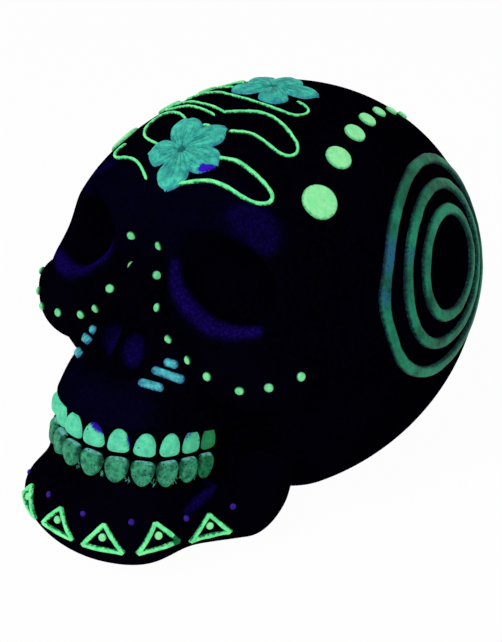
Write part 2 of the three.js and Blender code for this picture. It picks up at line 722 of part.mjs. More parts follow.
function dash(side, { at: [x, z], length, tilt }) {
  const land = chart(craniumBody, seatFromFront(side * x * HALF_BREADTH, z * SKULL_HEIGHT));
  const straight = (length * HALF_BREADTH - DASH_WIDTH) / 2;
  const lean = degrees(side * tilt);
  const outline = circle(DASH_WIDTH / 2, DOT_STEPS).map(([s, t]) => {
    const far = s + Math.sign(s) * straight;
    return [far * Math.cos(lean) - t * Math.sin(lean), far * Math.sin(lean) + t * Math.cos(lean)];
  });
  return patch(land, outline, dome(DOT_HEIGHT), DOT_RING_SHARES);
}

// Colours as the paint glows

const paint = (color, roughness) => () => new THREE.MeshStandardMaterial({ color, roughness, metalness: 0 });
const resin = paint(0x0b0620, 0.45);
const enamel = paint(0x58c39c, 0.5);
const dimEnamel = paint(0x30886a, 0.5);
const petalPaint = paint(0x3cae98, 0.55);
const linePaint = paint(0x7ddc86, 0.5);
const ringPaint = paint(0x247860, 0.55);
const dotPaint = paint(0x92eea5, 0.5);
const dashPaint = paint(0x3a9a9c, 0.5);

function piece(name, geometry, material) {
  const mesh = new THREE.Mesh(geometry, material());
  mesh.name = name;
  return mesh;
}

const skull = new THREE.Group();
skull.add(piece("cranium", cranium(), resin));
skull.add(piece("mandible", mandible(), resin));

bite.add(piece("upper_teeth", toothRow(UPPER_CROWN_HEIGHT, false), enamel));
const lowerTeeth = piece("lower_teeth", toothRow(LOWER_CROWN_HEIGHT, true), dimEnamel);
lowerTeeth.position.z = -BITE_GAP;
bite.add(lowerTeeth);
skull.add(bite);

for (const [name, layout] of Object.entries(FLOWERS)) skull.add(piece(name, flower(layout), petalPaint));
for (const [name, shares] of Object.entries(SCROLL_SHARES)) skull.add(piece(name, scroll(shares), linePaint));

for (const [name, spot] of Object.entries(BLADE_PLACES)) {
  const foot = seatOnJaw(spot);
  skull.add(piece(`${name}_triangle`, blade(foot), linePaint));
  skull.add(piece(`${name}_dot`, roundDot(jawBody, foot, BLADE_DOT_DIAMETER, DOT_STEPS), dotPaint));
}

for (const side of sides) {
  const hand = side > 0 ? "left" : "right";
  ["inner", "middle", "outer"].forEach((band, i) => {
    skull.add(piece(`${hand}_${band}_ring`, sideRing(side, RING_INNER_RADIUS + i * RING_PITCH), ringPaint));
  });
  TEMPLE_DOT_SHARES.forEach(([x, y], i) => {
    const foot = seatFromAbove(side * x * HALF_BREADTH, y * HALF_LENGTH);
    const dot = roundDot(craniumBody, foot, TEMPLE_DOT_DIAMETERS[i], DOT_STEPS);
    skull.add(piece(`${hand}_temple_dot_${i + 1}`, dot, dotPaint));
  });
  DASH_SHARES.forEach((share, i) => {
    skull.add(piece(`${hand}_cheek_dash_${i + 1}`, dash(side, share), dashPaint));
  });
}

export default skull;
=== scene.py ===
"""A decorated sugar skull of dark resin with painted relief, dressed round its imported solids.

Shapes are worked out in millimetres and become metres when a mesh is made.
+X is the skull's left, -Y is the way it faces, +Z is up, and it stands on z = 0.
"""
import itertools
import math

import bmesh
import bpy
import numpy as np
from mathutils import Euler, Matrix, Vector


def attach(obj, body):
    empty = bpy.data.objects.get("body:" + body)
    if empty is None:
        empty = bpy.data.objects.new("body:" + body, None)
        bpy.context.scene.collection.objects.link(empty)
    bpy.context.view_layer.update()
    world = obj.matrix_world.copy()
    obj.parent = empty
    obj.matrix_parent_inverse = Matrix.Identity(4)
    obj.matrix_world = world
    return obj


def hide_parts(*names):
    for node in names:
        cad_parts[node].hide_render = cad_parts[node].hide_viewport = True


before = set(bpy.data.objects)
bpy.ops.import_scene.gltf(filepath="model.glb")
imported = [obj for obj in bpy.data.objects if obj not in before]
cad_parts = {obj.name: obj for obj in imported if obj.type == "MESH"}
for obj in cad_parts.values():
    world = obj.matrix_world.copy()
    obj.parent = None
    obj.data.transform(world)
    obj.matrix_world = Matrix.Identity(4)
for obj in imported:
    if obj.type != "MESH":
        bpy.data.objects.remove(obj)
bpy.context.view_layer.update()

MM = 0.001

# Driving sizes, as in the solids
SKULL_BREADTH = 113
SKULL_LENGTH = 160
SKULL_HEIGHT = 114
HALF_BREADTH = SKULL_BREADTH / 2
HALF_LENGTH = SKULL_LENGTH / 2
CLEARANCE = 0.3
ROOTED = 0.3

# Teeth
BITE_SHARES = (0, -0.865, 0.345)
OCCLUSAL_TILT = 11.5
BITE_GAP = 1.4
UPPER_CROWN_HEIGHT = 6.9
LOWER_CROWN_HEIGHT = 7.4
CROWN_DEPTH = 3.6
CROWN_PROUD = 1.5
TOOTH_WIDTHS = [7.4, 7, 7, 6.8, 6.2, 5.2]
ROW_WIDTHS = TOOTH_WIDTHS[::-1] + TOOTH_WIDTHS
UPPER_GAP = 0.95
LOWER_GAP = 0.25
GUM_MARGIN = 0.5
GUM_FACE = -0.4
GUM_BARED = 0.6
ARCH_SHARES = [
    (0, 0), (0.122, 0.0115), (0.226, 0.052), (0.32, 0.1),
    (0.369, 0.178), (0.394, 0.254), (0.411, 0.322), (0.424, 0.39),
]
FLECKS_BETWEEN_TEETH = 5
FLECK_HEIGHT = 0.18
FLECK_SUNK = 0.3
FLECK_STEPS = 9
MOUTH_REACH = 8
MOUTH_DEPTH = 36

# Relief
DOT_HEIGHT = 0.9
BROAD_FLATNESS = 7
SMALL_FLATNESS = 3
CHEEK_BEAD = {"diameter": 2.4, "tall": 0.95}
JAW_BEAD = {"diameter": 1.7, "tall": 0.7}
BLADE_DOT_DIAMETER = 2.1
DASH_WIDTH = 2.3
FLOWER_REACH = 12
FLOWER_HEIGHT = 1.8
PETAL_LAYER = 0.1
RING_WIDTH = 3.3
RING_HEIGHT = 1.1
RING_INNER_RADIUS = 15
RING_PITCH = 7.6
RING_WEAR = [0.2, 0.65, 1.1]
# Where the rings are worn most: a bearing and a reach in degrees, and a share
RING_WORN = [(27, 11, 1), (5, 7, 0.6)]
SCROLL_WIDTH = 1.25
SCROLL_HEIGHT = 0.9
BLADE_SIDE = 11.5
BLADE_TALL = 6.6
BLADE_LINE = 1.25
WORN_BLADE = "left_jaw_2"
WORN_CORNER = (0.42 * BLADE_SIDE, -0.36 * BLADE_TALL)
TEMPLE_DOT_DIAMETERS = [9.8, 7.4, 6.2, 5.2, 4.2, 3.5, 3]
CHART_STAND = SKULL_BREADTH / 4

# How finely shapes are worked out
NET_SPACING = 1.05
ROUGH_SPACING = 4.2
SURE_DISTANCE = 1.6 * ROUGH_SPACING
EVENING_ROUNDS = 4
EVENING_SHARE = 0.6
FAR_AWAY = 1e6
WALK_STEPS = 110
WALK_SHARE = 0.75
NEAR_ENOUGH = 0.001
NORMAL_PROBE = 0.1
KNOT_SAMPLES = 40
ARCH_SPACING = 0.25
ARCH_PROBE = 0.5
ARCH_STEPS = 60
BOX_MARGIN = 6
CREASE_DEGREES = 38
TOOTH_RINGS = 12
TOOTH_AROUND = 56
SECTION_POINTS = 9
RING_SPACING = 0.9
SCROLL_SPACING = 0.4
DOT_RINGS = 9
DASH_RINGS = 8
BLADE_STEPS = 18
WOBBLE_WAVES = (2, 3, 5, 9)
PETAL_ROWS = 34
PETAL_COLUMNS = 25

# Masses of the skull: places and radii are shares of half the breadth, half the length and the height
# A bar's radii and every blend are shares of half the breadth, and turns are in degrees
CRANIUM_SHARES = [
    dict(op="join", at=(0, 0.109, 0.479), radii=(1, 0.895, 0.522), turn=(-4.7, 0, 0), blend=0.01),
    dict(op="plane", at=(0, -0.55, 0.833), lean=14.4, blend=0.18),
    dict(op="plane", at=(0, -0.6, 0.52), lean=-30, blend=0.16),
    dict(op="carve", at=(1.05, -0.43, 0.7), radii=(0.3, 0.3, 0.17), blend=0.18),
    dict(op="carve", at=(0, -0.675, 0.715), radii=(0.2, 0.172, 0.12), blend=0.08),
    dict(op="bar", at=(0, -0.469, 0.78), to=(0, -0.585, 0.655), radii=(0.048, 0.064), blend=0.07),
    dict(op="bar", at=(0, -0.57, 0.66), to=(0, -0.58, 0.545), radii=(0.075, 0.165), blend=0.08),
    dict(op="join", at=(0.27, -0.47, 0.83), radii=(0.21, 0.06, 0.035), turn=(-25, 12, 14), blend=0.12),
    dict(op="join", at=(0.56, -0.525, 0.505), radii=(0.21, 0.08, 0.06), turn=(0, 0, 25), blend=0.12),
    dict(op="bar", at=(0.77, -0.415, 0.515), to=(0.87, -0.2, 0.5), radii=(0.088, 0.07), blend=0.14),
    dict(op="join", at=(0, -0.53, 0.385), radii=(0.402, 0.33, 0.165), blend=0.1),
    dict(op="join", at=(0, -0.54, 0.33), radii=(0.485, 0.335, 0.09), blend=0.12),
    dict(op="carve", at=(0.49, -0.585, 0.75), radii=(0.27, 0.27, 0.097), turn=(-20, 26, 18), blend=0.07),
    dict(op="carve", at=(0.07, -0.733, 0.562), radii=(0.078, 0.112, 0.088), turn=(-22, -12, 0), blend=0.035),
]
JAW_SHARES = [
    dict(op="join", at=(0, -0.8, 0.137), radii=(0.445, 0.19, 0.106), blend=0.01),
    dict(op="bar", at=(0.235, -0.725, 0.14), to=(0.47, -0.45, 0.124), radii=(0.17, 0.175), blend=0.15),
    dict(op="join", at=(0, -0.475, 0.16), radii=(0.46, 0.33, 0.14), blend=0.12),
    dict(op="join", at=(0, -0.54, 0.26), radii=(0.48, 0.335, 0.09), blend=0.12),
    dict(op="bar", at=(0.51, -0.365, 0.16), to=(0.64, -0.2, 0.4), radii=(0.125, 0.09), blend=0.12),
]
JAW_HEART_SHARES = (0, -0.55)
# Places of the relief
CHEEK_DOT_SHARES = [
    (0.087, 0.769), (0.079, 0.696), (0.151, 0.64), (0.234, 0.579), (0.345, 0.543),
    (0.48, 0.53), (0.635, 0.514), (0.74, 0.524), (0.834, 0.544),
]
# Each dash has a place, a length and a tilt in degrees
DASH_SHARES = [(0.25, 0.519, 0.072, -14), (0.262, 0.499, 0.16, -28), (0.235, 0.487, 0.12, -23)]
# A flower's place, and its petals: bearing in degrees, reach, width, how pointed, how much paint is off
FLOWERS = {
    "front_flower": ((-0.012, -0.336), [
        (66.5, 1.1, 0.66, 0.45, 0), (121, 1.18, 0.66, 0, 0), (202, 0.82, 1, 0, 0),
        (288, 1.12, 0.66, 0.25, 0), (356, 0.96, 0.86, 0, 1),
    ]),
    "crown_flower": ((-0.01, 0.13), [
        (29, 1.04, 0.66, 0.5, 0), (94, 1, 0.74, 0, 0), (149, 1.1, 0.68, 0, 0),
        (215, 0.94, 0.78, 0, 0), (308, 0.9, 0.8, 0.1, 0),
    ]),
}
TEMPLE_DOT_SHARES = [
    (0.61, -0.175), (0.527, 0), (0.462, 0.151), (0.409, 0.275),
    (0.358, 0.396), (0.317, 0.515), (0.3, 0.605),
]
# How far a line runs on under its neighbours at its ends in millimetres, how broad it is, and its places
SCROLLS = {
    "left_front_scroll": (1.8, 2.4, 0.84, [
        (0.19, -0.3), (0.25, -0.283), (0.34, -0.28), (0.42, -0.282), (0.468, -0.292), (0.474, -0.312),
        (0.44, -0.342), (0.377, -0.361), (0.298, -0.37), (0.215, -0.386), (0.159, -0.41), (0.118, -0.43),
    ]),
    "left_middle_scroll": (1.6, 0.9, 0.68, [
        (0.125, -0.187), (0.188, -0.164), (0.243, -0.16), (0.305, -0.162), (0.36, -0.162), (0.398, -0.146),
        (0.408, -0.118), (0.384, -0.09), (0.324, -0.069), (0.235, -0.049), (0.171, -0.046), (0.119, -0.053),
        (0.067, -0.074), (0.027, -0.092), (-0.014, -0.112),
    ]),
    "crown_scroll": (1.2, 0, 0.58, [
        (0.185, 0.102), (0.225, 0.1), (0.258, 0.082), (0.262, 0.05), (0.24, 0.02), (0.17, 0.006),
        (0.088, -0.002), (0, -0.003), (-0.07, 0), (-0.142, 0.01), (-0.23, 0.028), (-0.319, 0.038),
        (-0.39, 0.03), (-0.43, 0.012),
    ]),
    "left_petal_scroll": (0.5, 0.4, 0.78, [(-0.04, -0.207), (-0.022, -0.205), (-0.004, -0.206)]),
    "right_front_scroll": (1.5, 0, 0.66, [
        (-0.1, -0.45), (-0.177, -0.415), (-0.25, -0.39), (-0.32, -0.375), (-0.4, -0.36),
        (-0.46, -0.33), (-0.48, -0.3), (-0.45, -0.28),
    ]),
    "right_middle_scroll": (1.8, 1.6, 0.62, [
        (-0.2, -0.32), (-0.27, -0.3), (-0.33, -0.275), (-0.39, -0.23), (-0.425, -0.18),
        (-0.42, -0.13), (-0.37, -0.125), (-0.3, -0.14), (-0.24, -0.16), (-0.2, -0.178),
    ]),
    "right_rear_scroll": (0.9, 0, 0.58, [
        (-0.04, -0.112), (-0.12, -0.095), (-0.2, -0.08), (-0.345, -0.045), (-0.44, -0.03), (-0.475, -0.05),
        (-0.44, -0.078), (-0.37, -0.088), (-0.29, -0.092), (-0.2, -0.11), (-0.12, -0.128), (-0.05, -0.145),
    ]),
    "right_crown_scroll": (1.2, 1.2, 0.56, [
        (-0.24, 0.098), (-0.31, 0.108), (-0.36, 0.13), (-0.372, 0.156), (-0.34, 0.178), (-0.28, 0.184),
    ]),
}
RING_CENTRE_SHARES = (0.293, 0.641)
RING_REACH_SHARES = (1.03, 0.89)
RING_LEAN_SHARE = 0.18
# Along the jaw, each place is a bearing in degrees from the front to the left and a share of the height
BLADE_PLACES = {
    "chin": (-1.8, 0.166),
    "left_jaw_1": (22.2, 0.164),
    "left_jaw_2": (46.6, 0.167),
    "left_jaw_3": (75, 0.137),
    "right_jaw_1": (-27, 0.157),
    "right_jaw_2": (-53, 0.13),
    "right_jaw_3": (-80, 0.13),
}
JAW_DOT_PLACES = [
    (10.5, 0.198), (34.5, 0.198), (62, 0.174), (88, 0.17),
    (-13, 0.198), (-40, 0.18), (-67, 0.165), (-92, 0.17),
]
# Where a painted violet highlight, the lit edge of the gum, lies at a tooth's rim: a direction across and up
# it, and how far out it starts
PAINTED_VIOLET_HIGHLIGHTS = {6: (0.45, 0.89, 0.5), 7: (1, 0.3, 0.66), 8: (-0.7, 0.7, 0.8), 10: (-0.75, 0.66, 0.66)}
# Lines along which indigo is painted as light where the lamp falls, on the orbit floors, the forehead, the
# nose and the face: reach in millimetres, strength, and places on the left in shares
PAINTED_LIGHT_SHARES = [
    (2.7, 0.56, [
        (0.195, -0.54, 0.74), (0.235, -0.565, 0.705), (0.3, -0.57, 0.668), (0.37, -0.57, 0.648),
        (0.445, -0.568, 0.636), (0.54, -0.545, 0.628), (0.64, -0.51, 0.637),
    ]),
    (5.4, 0.26, [(0.41, -0.42, 0.87), (0.49, -0.4, 0.845), (0.56, -0.39, 0.81)]),
    (2.9, 0.42, [(0.068, -0.64, 0.555), (0.07, -0.67, 0.508)]),
    (13, 0.03, [(0, -0.57, 0.85), (0.5, -0.42, 0.85)]),
    (9, 0.045, [(0, -0.86, 0.455), (0.28, -0.8, 0.45)]),
]
# A painted highlight along the jaw's ridge, given in the same way
JAW_PAINTED_LIGHT_SHARES = [(1.5, 0.42, [(0.443, -0.708, 0.186), (0.476, -0.598, 0.221)])]

ABOVE = np.array([0.0, 0.0, 1.0])
BACKWARD = np.array([0.0, 1.0, 0.0])
LEFTWARD = np.array([1.0, 0.0, 0.0])
# A share far enough out for any line to start outside the skull
OUTSIDE = 2
SIDES = {"left": 1, "right": -1}


def place(shares):
    return np.asarray(shares, float) * (HALF_BREADTH, HALF_LENGTH, SKULL_HEIGHT)


def unit(vectors):
    return vectors / np.linalg.norm(vectors, axis=-1, keepdims=True)


# Distances to the masses, negative inside


def ellipsoid_depth(mass):
    centre, size = place(mass["at"]), place(mass["radii"])
    turn = np.array(Euler(np.radians(mass.get("turn", (0, 0, 0))), "XYZ").to_matrix())

    def depth(points):
        local = (points - centre) @ turn / size
        reach = np.linalg.norm(local, axis=1)
        return reach * (reach - 1) / np.linalg.norm(local / size, axis=1)

    return depth


def bar_depth(mass):
    start = place(mass["at"])
    run = place(mass["to"]) - start
    first, last = np.multiply(mass["radii"], HALF_BREADTH)

    def depth(points):
        local = points - start
        along = np.clip(local @ run / (run @ run), 0, 1)
        return np.linalg.norm(local - along[:, None] * run, axis=1) - (first + (last - first) * along)

    return depth


def plane_depth(mass):
    foot = place(mass["at"])
    lean = math.radians(mass["lean"])

    def depth(points):
        return (points[:, 1] - foot[1]) * math.cos(lean) - (points[:, 2] - foot[2]) * math.sin(lean)

    return depth


DEPTHS = {"join": ellipsoid_depth, "carve": ellipsoid_depth, "bar": bar_depth, "plane": plane_depth}
CUTTING = ("carve", "plane")


def smooth_join(a, b, reach):
    overlap = np.maximum(reach - np.abs(a - b), 0) / reach
    return np.minimum(a, b) - overlap * overlap * reach / 4


def moulded(masses):
    """One smooth body from its masses, the same on both sides of the head."""
    layers = [(m["op"] in CUTTING, DEPTHS[m["op"]](m), m["blend"] * HALF_BREADTH) for m in masses]

    def depth(points):
        mirrored = points * 1.0
        mirrored[:, 0] = np.abs(points[:, 0])
        made = np.full(len(points), FAR_AWAY)
        for cuts, near, reach in layers:
            if cuts:
                made = -smooth_join(-made, near(mirrored), reach)
            else:
                made = smooth_join(made, near(mirrored), reach)
        return made

    return depth


cranium_body = moulded(CRANIUM_SHARES)
jaw_body = moulded(JAW_SHARES)


def normals_at(body, points):
    steps = NORMAL_PROBE * np.eye(3)
    return unit(np.stack([body(points + step) - body(points - step) for step in steps], axis=1))


def land_from(body, origins, direction):
    """Walks from outside along a direction onto the body, and gives the points and the normals there."""
    points = np.array(origins, float)
    for _ in range(WALK_STEPS):
        gap = body(points)
        far = gap > NEAR_ENOUGH
        if not far.any():
            break
        points[far] += direction * gap[far, None] * WALK_SHARE
    return points, normals_at(body, points)


# Meshes


def mark(mesh, label, values):
    mesh.attributes.new(label, "FLOAT", "POINT").data.foreach_set("value", np.asarray(values, np.float32))


def mesh_object(name, points, faces, **marks):
    """A smooth-shaded object from points in millimetres, with marks that its paint reads at each point."""
    mesh = bpy.data.meshes.new(name)
    mesh.from_pydata((np.asarray(points) * MM).tolist(), [], faces)
    for label, values in marks.items():
        mark(mesh, label, values)
    made = bmesh.new()
    made.from_mesh(mesh)
    bmesh.ops.recalc_face_normals(made, faces=made.faces)
    made.to_mesh(mesh)
    made.free()
    mesh.polygons.foreach_set("use_smooth", [True] * len(mesh.polygons))
    piece = bpy.data.objects.new(name, mesh)
    bpy.context.scene.collection.objects.link(piece)
    return piece


def capped_rings(count, rings):
    """Faces from a first point, over rings of count points each, to a last point."""
    last = 1 + (rings - 1) * count
    faces = []
    for i in range(count):
        j = (i + 1) % count
        faces.append((0, 1 + i, 1 + j))
        for a in range(1, last, count):
            faces.append((a + i, a + count + i, a + count + j, a + j))
        faces.append((last + i, last + count, last + j))
    return faces


def tube_faces(count, around, closed=False):
    """Faces over count sections of points, with an end on each side unless the tube closes on itself."""
    last = (count - 1) * around
    faces = [] if closed else [tuple(range(around)), tuple(last + k for k in reversed(range(around)))]
    for i in range(count if closed else count - 1):
        here, there = i * around, (i + 1) % count * around
        for k in range(around):
            m = (k + 1) % around
            faces.append((here + k, there + k, there + m, here + m))
    return faces


def crossings(depth, axis):
    """Where grid edges along an axis cross the skin, and how far along each edge."""
    here = np.take(depth, range(depth.shape[axis] - 1), axis)
    ahead = np.take(depth, range(1, depth.shape[axis]), axis)
    crossed = (here < 0) != (ahead < 0)
    share = np.where(crossed, here / np.where(crossed, here - ahead, 1), 0)
    return crossed, share


def netted(body, level, low, high):
    """A net of four-sided faces on the body: one point in each small cube that the skin passes through."""
    step = round(ROUGH_SPACING / NET_SPACING)
    count = np.ceil((np.subtract(high, low)) / ROUGH_SPACING).astype(int) + 1
    rows = [low[i] + ROUGH_SPACING * (np.arange(count[i]) + 0.5) for i in range(3)]
    rough = np.stack(np.meshgrid(*rows, indexing="ij"), axis=-1)
    depth = body(rough.reshape(-1, 3)).reshape(count) - level
    for axis in range(3):
        depth = np.repeat(depth, step, axis=axis)
    close = np.argwhere(np.abs(depth) < SURE_DISTANCE)
    corner = np.asarray(low) + NET_SPACING * 0.5
    depth[tuple(close.T)] = body(corner + close * NET_SPACING) - level
    cells = np.array(depth.shape) - 1
    total, hits = np.zeros((*cells, 3)), np.zeros(cells)
    edges = []
    for axis in range(3):
        crossed, share = crossings(depth, axis)
        edges.append((crossed, np.take(depth, range(cells[axis]), axis) < 0))
        others = [i for i in range(3) if i != axis]
        found = np.argwhere(crossed)
        spot = found.astype(float)
        spot[:, axis] += share[tuple(found.T)]
        for back in itertools.product((0, 1), repeat=2):
            cell = found.copy()
            cell[:, others] -= back
            inside = np.all((cell >= 0) & (cell < cells), axis=1)
            np.add.at(total, tuple(cell[inside].T), spot[inside])
            np.add.at(hits, tuple(cell[inside].T), 1)
    used = hits > 0
    index = np.full(cells, -1)
    index[used] = np.arange(used.sum())
    points = corner + total[used] / hits[used][:, None] * NET_SPACING
    faces = []
    for axis, (crossed, inner) in enumerate(edges):
        first, second = [np.eye(3, dtype=int)[(axis + k) % 3] for k in (1, 2)]
        found = np.argwhere(crossed)
        ring = [index[tuple((found - away).T)] for away in (first + second, second, 0 * first, first)]
        quads = np.stack(ring, axis=1)
        flip = ~inner[tuple(found.T)]
        quads[flip] = quads[flip][:, ::-1]
        faces.append(quads)
    return points, np.vstack(faces)


def evened(points, faces, body, level):
    """Draws each point towards the middle of its neighbours and back onto the body."""
    starts = np.concatenate([faces[:, k] for k in (0, 1, 2, 3, 1, 2, 3, 0)])
    ends = np.concatenate([faces[:, k] for k in (1, 2, 3, 0, 0, 1, 2, 3)])
    shared = np.bincount(starts, minlength=len(points))[:, None]
    for _ in range(EVENING_ROUNDS):
        sums = [np.bincount(starts, points[ends, i], len(points)) for i in range(3)]
        middle = np.stack(sums, axis=1) / shared
        points = points + EVENING_SHARE * (middle - points)
        points = points - normals_at(body, points) * (body(points) - level)[:, None]
    return points


def skin(name, body, low, high, level=0.0):
    points, faces = netted(body, level, low, high)
    return mesh_object(name, evened(points, faces, body, level), faces.tolist())


def subtract(target, cutter):
    cut = target.modifiers.new("cut", "BOOLEAN")
    cut.operation = "DIFFERENCE"
    cut.solver = "MANIFOLD"
    cut.object = cutter
    graph = bpy.context.evaluated_depsgraph_get()
    made = bpy.data.meshes.new_from_object(target.evaluated_get(graph))
    target.modifiers.clear()
    old = target.data
    target.data = made
    bpy.data.meshes.remove(old)


def slab(name, low, high, stand=np.asarray):
    corners = stand(np.array(list(itertools.product(*zip(low, high))), float))
    faces = [(0, 1, 3, 2), (4, 6, 7, 5), (0, 4, 5, 1), (2, 3, 7, 6), (0, 2, 6, 4), (1, 5, 7, 3)]
    return mesh_object(name, corners, faces)


# The bite's own frame

TILT = np.array(Matrix.Rotation(-math.radians(OCCLUSAL_TILT), 3, "X"))


def bitten(points):
    return np.asarray(points, float) @ TILT.T + place(BITE_SHARES)


def lengths_along(line):
    return np.concatenate([[0], np.cumsum(np.linalg.norm(np.diff(line, axis=0), axis=1))])


def between(t, start, end, a, b):
    return (end - t) / (end - start) * a + (t - start) / (end - start) * b


def smooth_line(knots, spacing):
    """Points at even spacing along a centripetal Catmull-Rom line through the knots."""
    knots = np.asarray(knots, float)
    ends = np.vstack([2 * knots[0] - knots[1], knots, 2 * knots[-1] - knots[-2]])
    line = []
    for p0, p1, p2, p3 in zip(ends, ends[1:], ends[2:], ends[3:]):
        t1, t2, t3 = np.cumsum([np.linalg.norm(step) ** 0.5 for step in (p1 - p0, p2 - p1, p3 - p2)])
        t = np.linspace(t1, t2, KNOT_SAMPLES, endpoint=False)[:, None]
        middle = between(t, t1, t2, p1, p2)
        early = between(t, 0, t2, between(t, 0, t1, p0, p1), middle)
        late = between(t, t1, t3, middle, between(t, t2, t3, p2, p3))
        line.append(between(t, t1, t2, early, late))
    line = np.vstack([*line, knots[-1:]])
    passed = lengths_along(line)
    count = max(round(passed[-1] / spacing), 2)
    even = np.linspace(0, passed[-1], count + 1)
    return np.stack([np.interp(even, passed, line[:, i]) for i in range(line.shape[1])], axis=1)


ARCH_RIGHT = [place((-x, y, 0)) for x, y in ARCH_SHARES[:0:-1]]
ARCH = smooth_line(ARCH_RIGHT + [place((x, y, 0)) for x, y in ARCH_SHARES], ARCH_SPACING)
ARCH_PASSED = lengths_along(ARCH)
ROW_START = (ARCH_PASSED[-1] - sum(ROW_WIDTHS)) / 2


def arch_point(passed):
    return np.array([np.interp(passed, ARCH_PASSED, ARCH[:, i]) for i in range(3)])


def arch_frame(passed):
    """Foot, direction along and direction outward on the arch, after some length along it."""
    along = unit(arch_point(passed + ARCH_PROBE) - arch_point(passed - ARCH_PROBE))
    return arch_point(passed), along, np.array([along[1], -along[0], 0])


def arch_strip(name, inner, outer, bottom, top, short=0):
    """A strip that follows the arch between two offsets, standing between two heights."""
    rows = []
    for passed in np.linspace(short, ARCH_PASSED[-1] - short, ARCH_STEPS + 1):
        foot, _, outward = arch_frame(passed)
        for offset, height in ((inner, bottom), (outer, bottom), (outer, top), (inner, top)):
            rows.append(foot + outward * offset + ABOVE * height)
    return mesh_object(name, bitten(rows), tube_faces(ARCH_STEPS + 1, 4))


# Relief that follows the skin


def seat_on_head(shares, direction):
    """Point and normal where a line from somewhere outside, along a direction, meets the cranium."""
    return land_from(cranium_body, place(shares)[None, :], direction)


def seat_on_jaw(bearing, height):
    outward = np.array([math.sin(math.radians(bearing)), -math.cos(math.radians(bearing)), 0])
    start = place((*JAW_HEART_SHARES, height)) + outward * SKULL_LENGTH
    return land_from(jaw_body, start[None, :], -outward)


def chart(body, seat, upward=ABOVE):
    """Lays lengths across and up a seat on the body, and gives points and normals there."""
    point, normal = seat[0][0], seat[1][0]
    across = unit(np.cross(upward, normal))
    up = np.cross(normal, across)

    def land(flat):
        start = point + flat[:, :1] * across + flat[:, 1:2] * up + normal * CHART_STAND
        return land_from(body, start, -normal)

    return land


def patch(name, land, outline, height, rings):
    """A closed raised patch inside an outline: rings from the middle to the edge, then a rooted skirt."""
    count = len(outline)
    middle = outline.mean(axis=0)
    shares = np.sin(np.linspace(0, math.pi / 2, rings + 1))[1:]
    flat = np.vstack([middle[None, :]] + [middle + (outline - middle) * share for share in shares])
    reach = np.concatenate([[0], np.repeat(shares, count)])
    points, normals = land(flat)
    top = points + normals * height(reach)[:, None]
    skirt = (points - normals * ROOTED)[-count:]
    under = (points - normals * ROOTED)[:1]
    thin = np.concatenate([reach, np.ones(count + 1)])
    return mesh_object(name, np.vstack([top, skirt, under]), capped_rings(count, rings + 1), thin=thin)


def circle(radius, steps):
    turn = np.linspace(0, 2 * math.pi, steps, endpoint=False)
    return np.stack([radius * np.cos(turn), radius * np.sin(turn)], axis=1)


def rotated(flat, degrees):
    cos, sin = math.cos(math.radians(degrees)), math.sin(math.radians(degrees))
    return flat @ np.array([[cos, sin], [-sin, cos]])


def button(height, flatness):
    """A domed height over how far out a point is: a higher flatness gives a flatter top."""
    return lambda reach: height * np.maximum(1 - reach ** flatness, 0) ** (1 / 2)


def wobble(count, size, seed):
    """A small closed random ripple, the same at every run."""
    drawn = np.random.default_rng(seed)
    turn = np.linspace(0, 2 * math.pi, count, endpoint=False)
    ripple = 0
    for wave in WOBBLE_WAVES:
        ripple += drawn.uniform(-1, 1) * np.sin(wave * turn + drawn.uniform(0, 6)) / wave ** 0.5
    return size * ripple


def bead(name, points, normals, width, height, closed, flatness, seed, ragged, faded=None, worn=None):
    """A raised line with a rounded section along points on the skin."""
    count = len(points)
    if closed:
        ahead, behind = np.roll(points, -1, axis=0), np.roll(points, 1, axis=0)
    else:
        ahead = np.vstack([points[1:], 2 * points[-1:] - points[-2:-1]])
        behind = np.vstack([2 * points[:1] - points[1:2], points[:-1]])
    coming, going = unit(points - behind), unit(ahead - points)
    tangents = unit(coming + going)
    aside = unit(np.cross(normals, tangents))
    mitre = 1 / np.clip(np.sum(going * tangents, axis=1), 0.55, 1)
    knots = 2 + count // 3
    drawn = np.random.default_rng(seed).uniform(-1, 1, knots)
    scale = 1 + ragged * np.interp(np.arange(count), np.linspace(0, count, knots), drawn)
    if not closed:
        order = np.arange(count)
        from_end = np.minimum(order, order[::-1]) * np.linalg.norm(points[1] - points[0])
        scale = scale * np.sqrt(np.clip(1 - (1 - np.clip(from_end / width, 0, 1)) ** 2, 0.04, 1))
    turn = np.linspace(0, math.pi, SECTION_POINTS)
    section = np.sign(np.cos(turn)) * np.abs(np.cos(turn)) ** (2 / (flatness + 0.6)) / 2
    sideways = np.concatenate([section[:1], section, section[-1:]])
    around = len(sideways)
    spread = np.outer(width * scale * mitre, sideways)
    raised = np.full((count, around), -ROOTED, float)
    raised[:, 1:-1] = np.outer(height * scale, np.sin(turn) ** (2 / flatness))
    made = points[:, None] + aside[:, None] * spread[..., None] + normals[:, None] * raised[..., None]
    marks = {"thin": np.tile(2 * np.abs(sideways), count)}
    if faded is not None:
        marks["thin"] = np.maximum(marks["thin"], np.repeat(faded, around))
    if worn is not None:
        marks["bare"] = np.repeat(worn, around)
    return mesh_object(name, made.reshape(-1, 3), tube_faces(count, around, closed), **marks)


def ball_bead(name, seat, seed, diameter, tall):
    """A small button sunk to its waist in the skin."""
    ball = bmesh.new()
    bmesh.ops.create_icosphere(ball, subdivisions=4, radius=1)
    directions = unit(np.array([v.co for v in ball.verts], float))
    faces = [[v.index for v in f.verts] for f in ball.faces]
    ball.free()
    drawn = np.random.default_rng(seed)
    normal = seat[1][0]
    across = unit(np.cross(normal, ABOVE + 0.01))
    axes = np.array([across, np.cross(normal, across), normal])
    size = np.array([diameter, diameter, 2 * tall]) / 2 * drawn.uniform(0.94, 1.06, 3)
    uneven = 1 + 0.03 * np.sin(directions @ drawn.uniform(-4, 4, 3) + drawn.uniform(0, 6))
    thin = np.clip(1.1 - directions[:, 2], 0, 1)
    return mesh_object(name, seat[0][0] + directions * size * uneven[:, None] @ axes, faces, thin=thin)


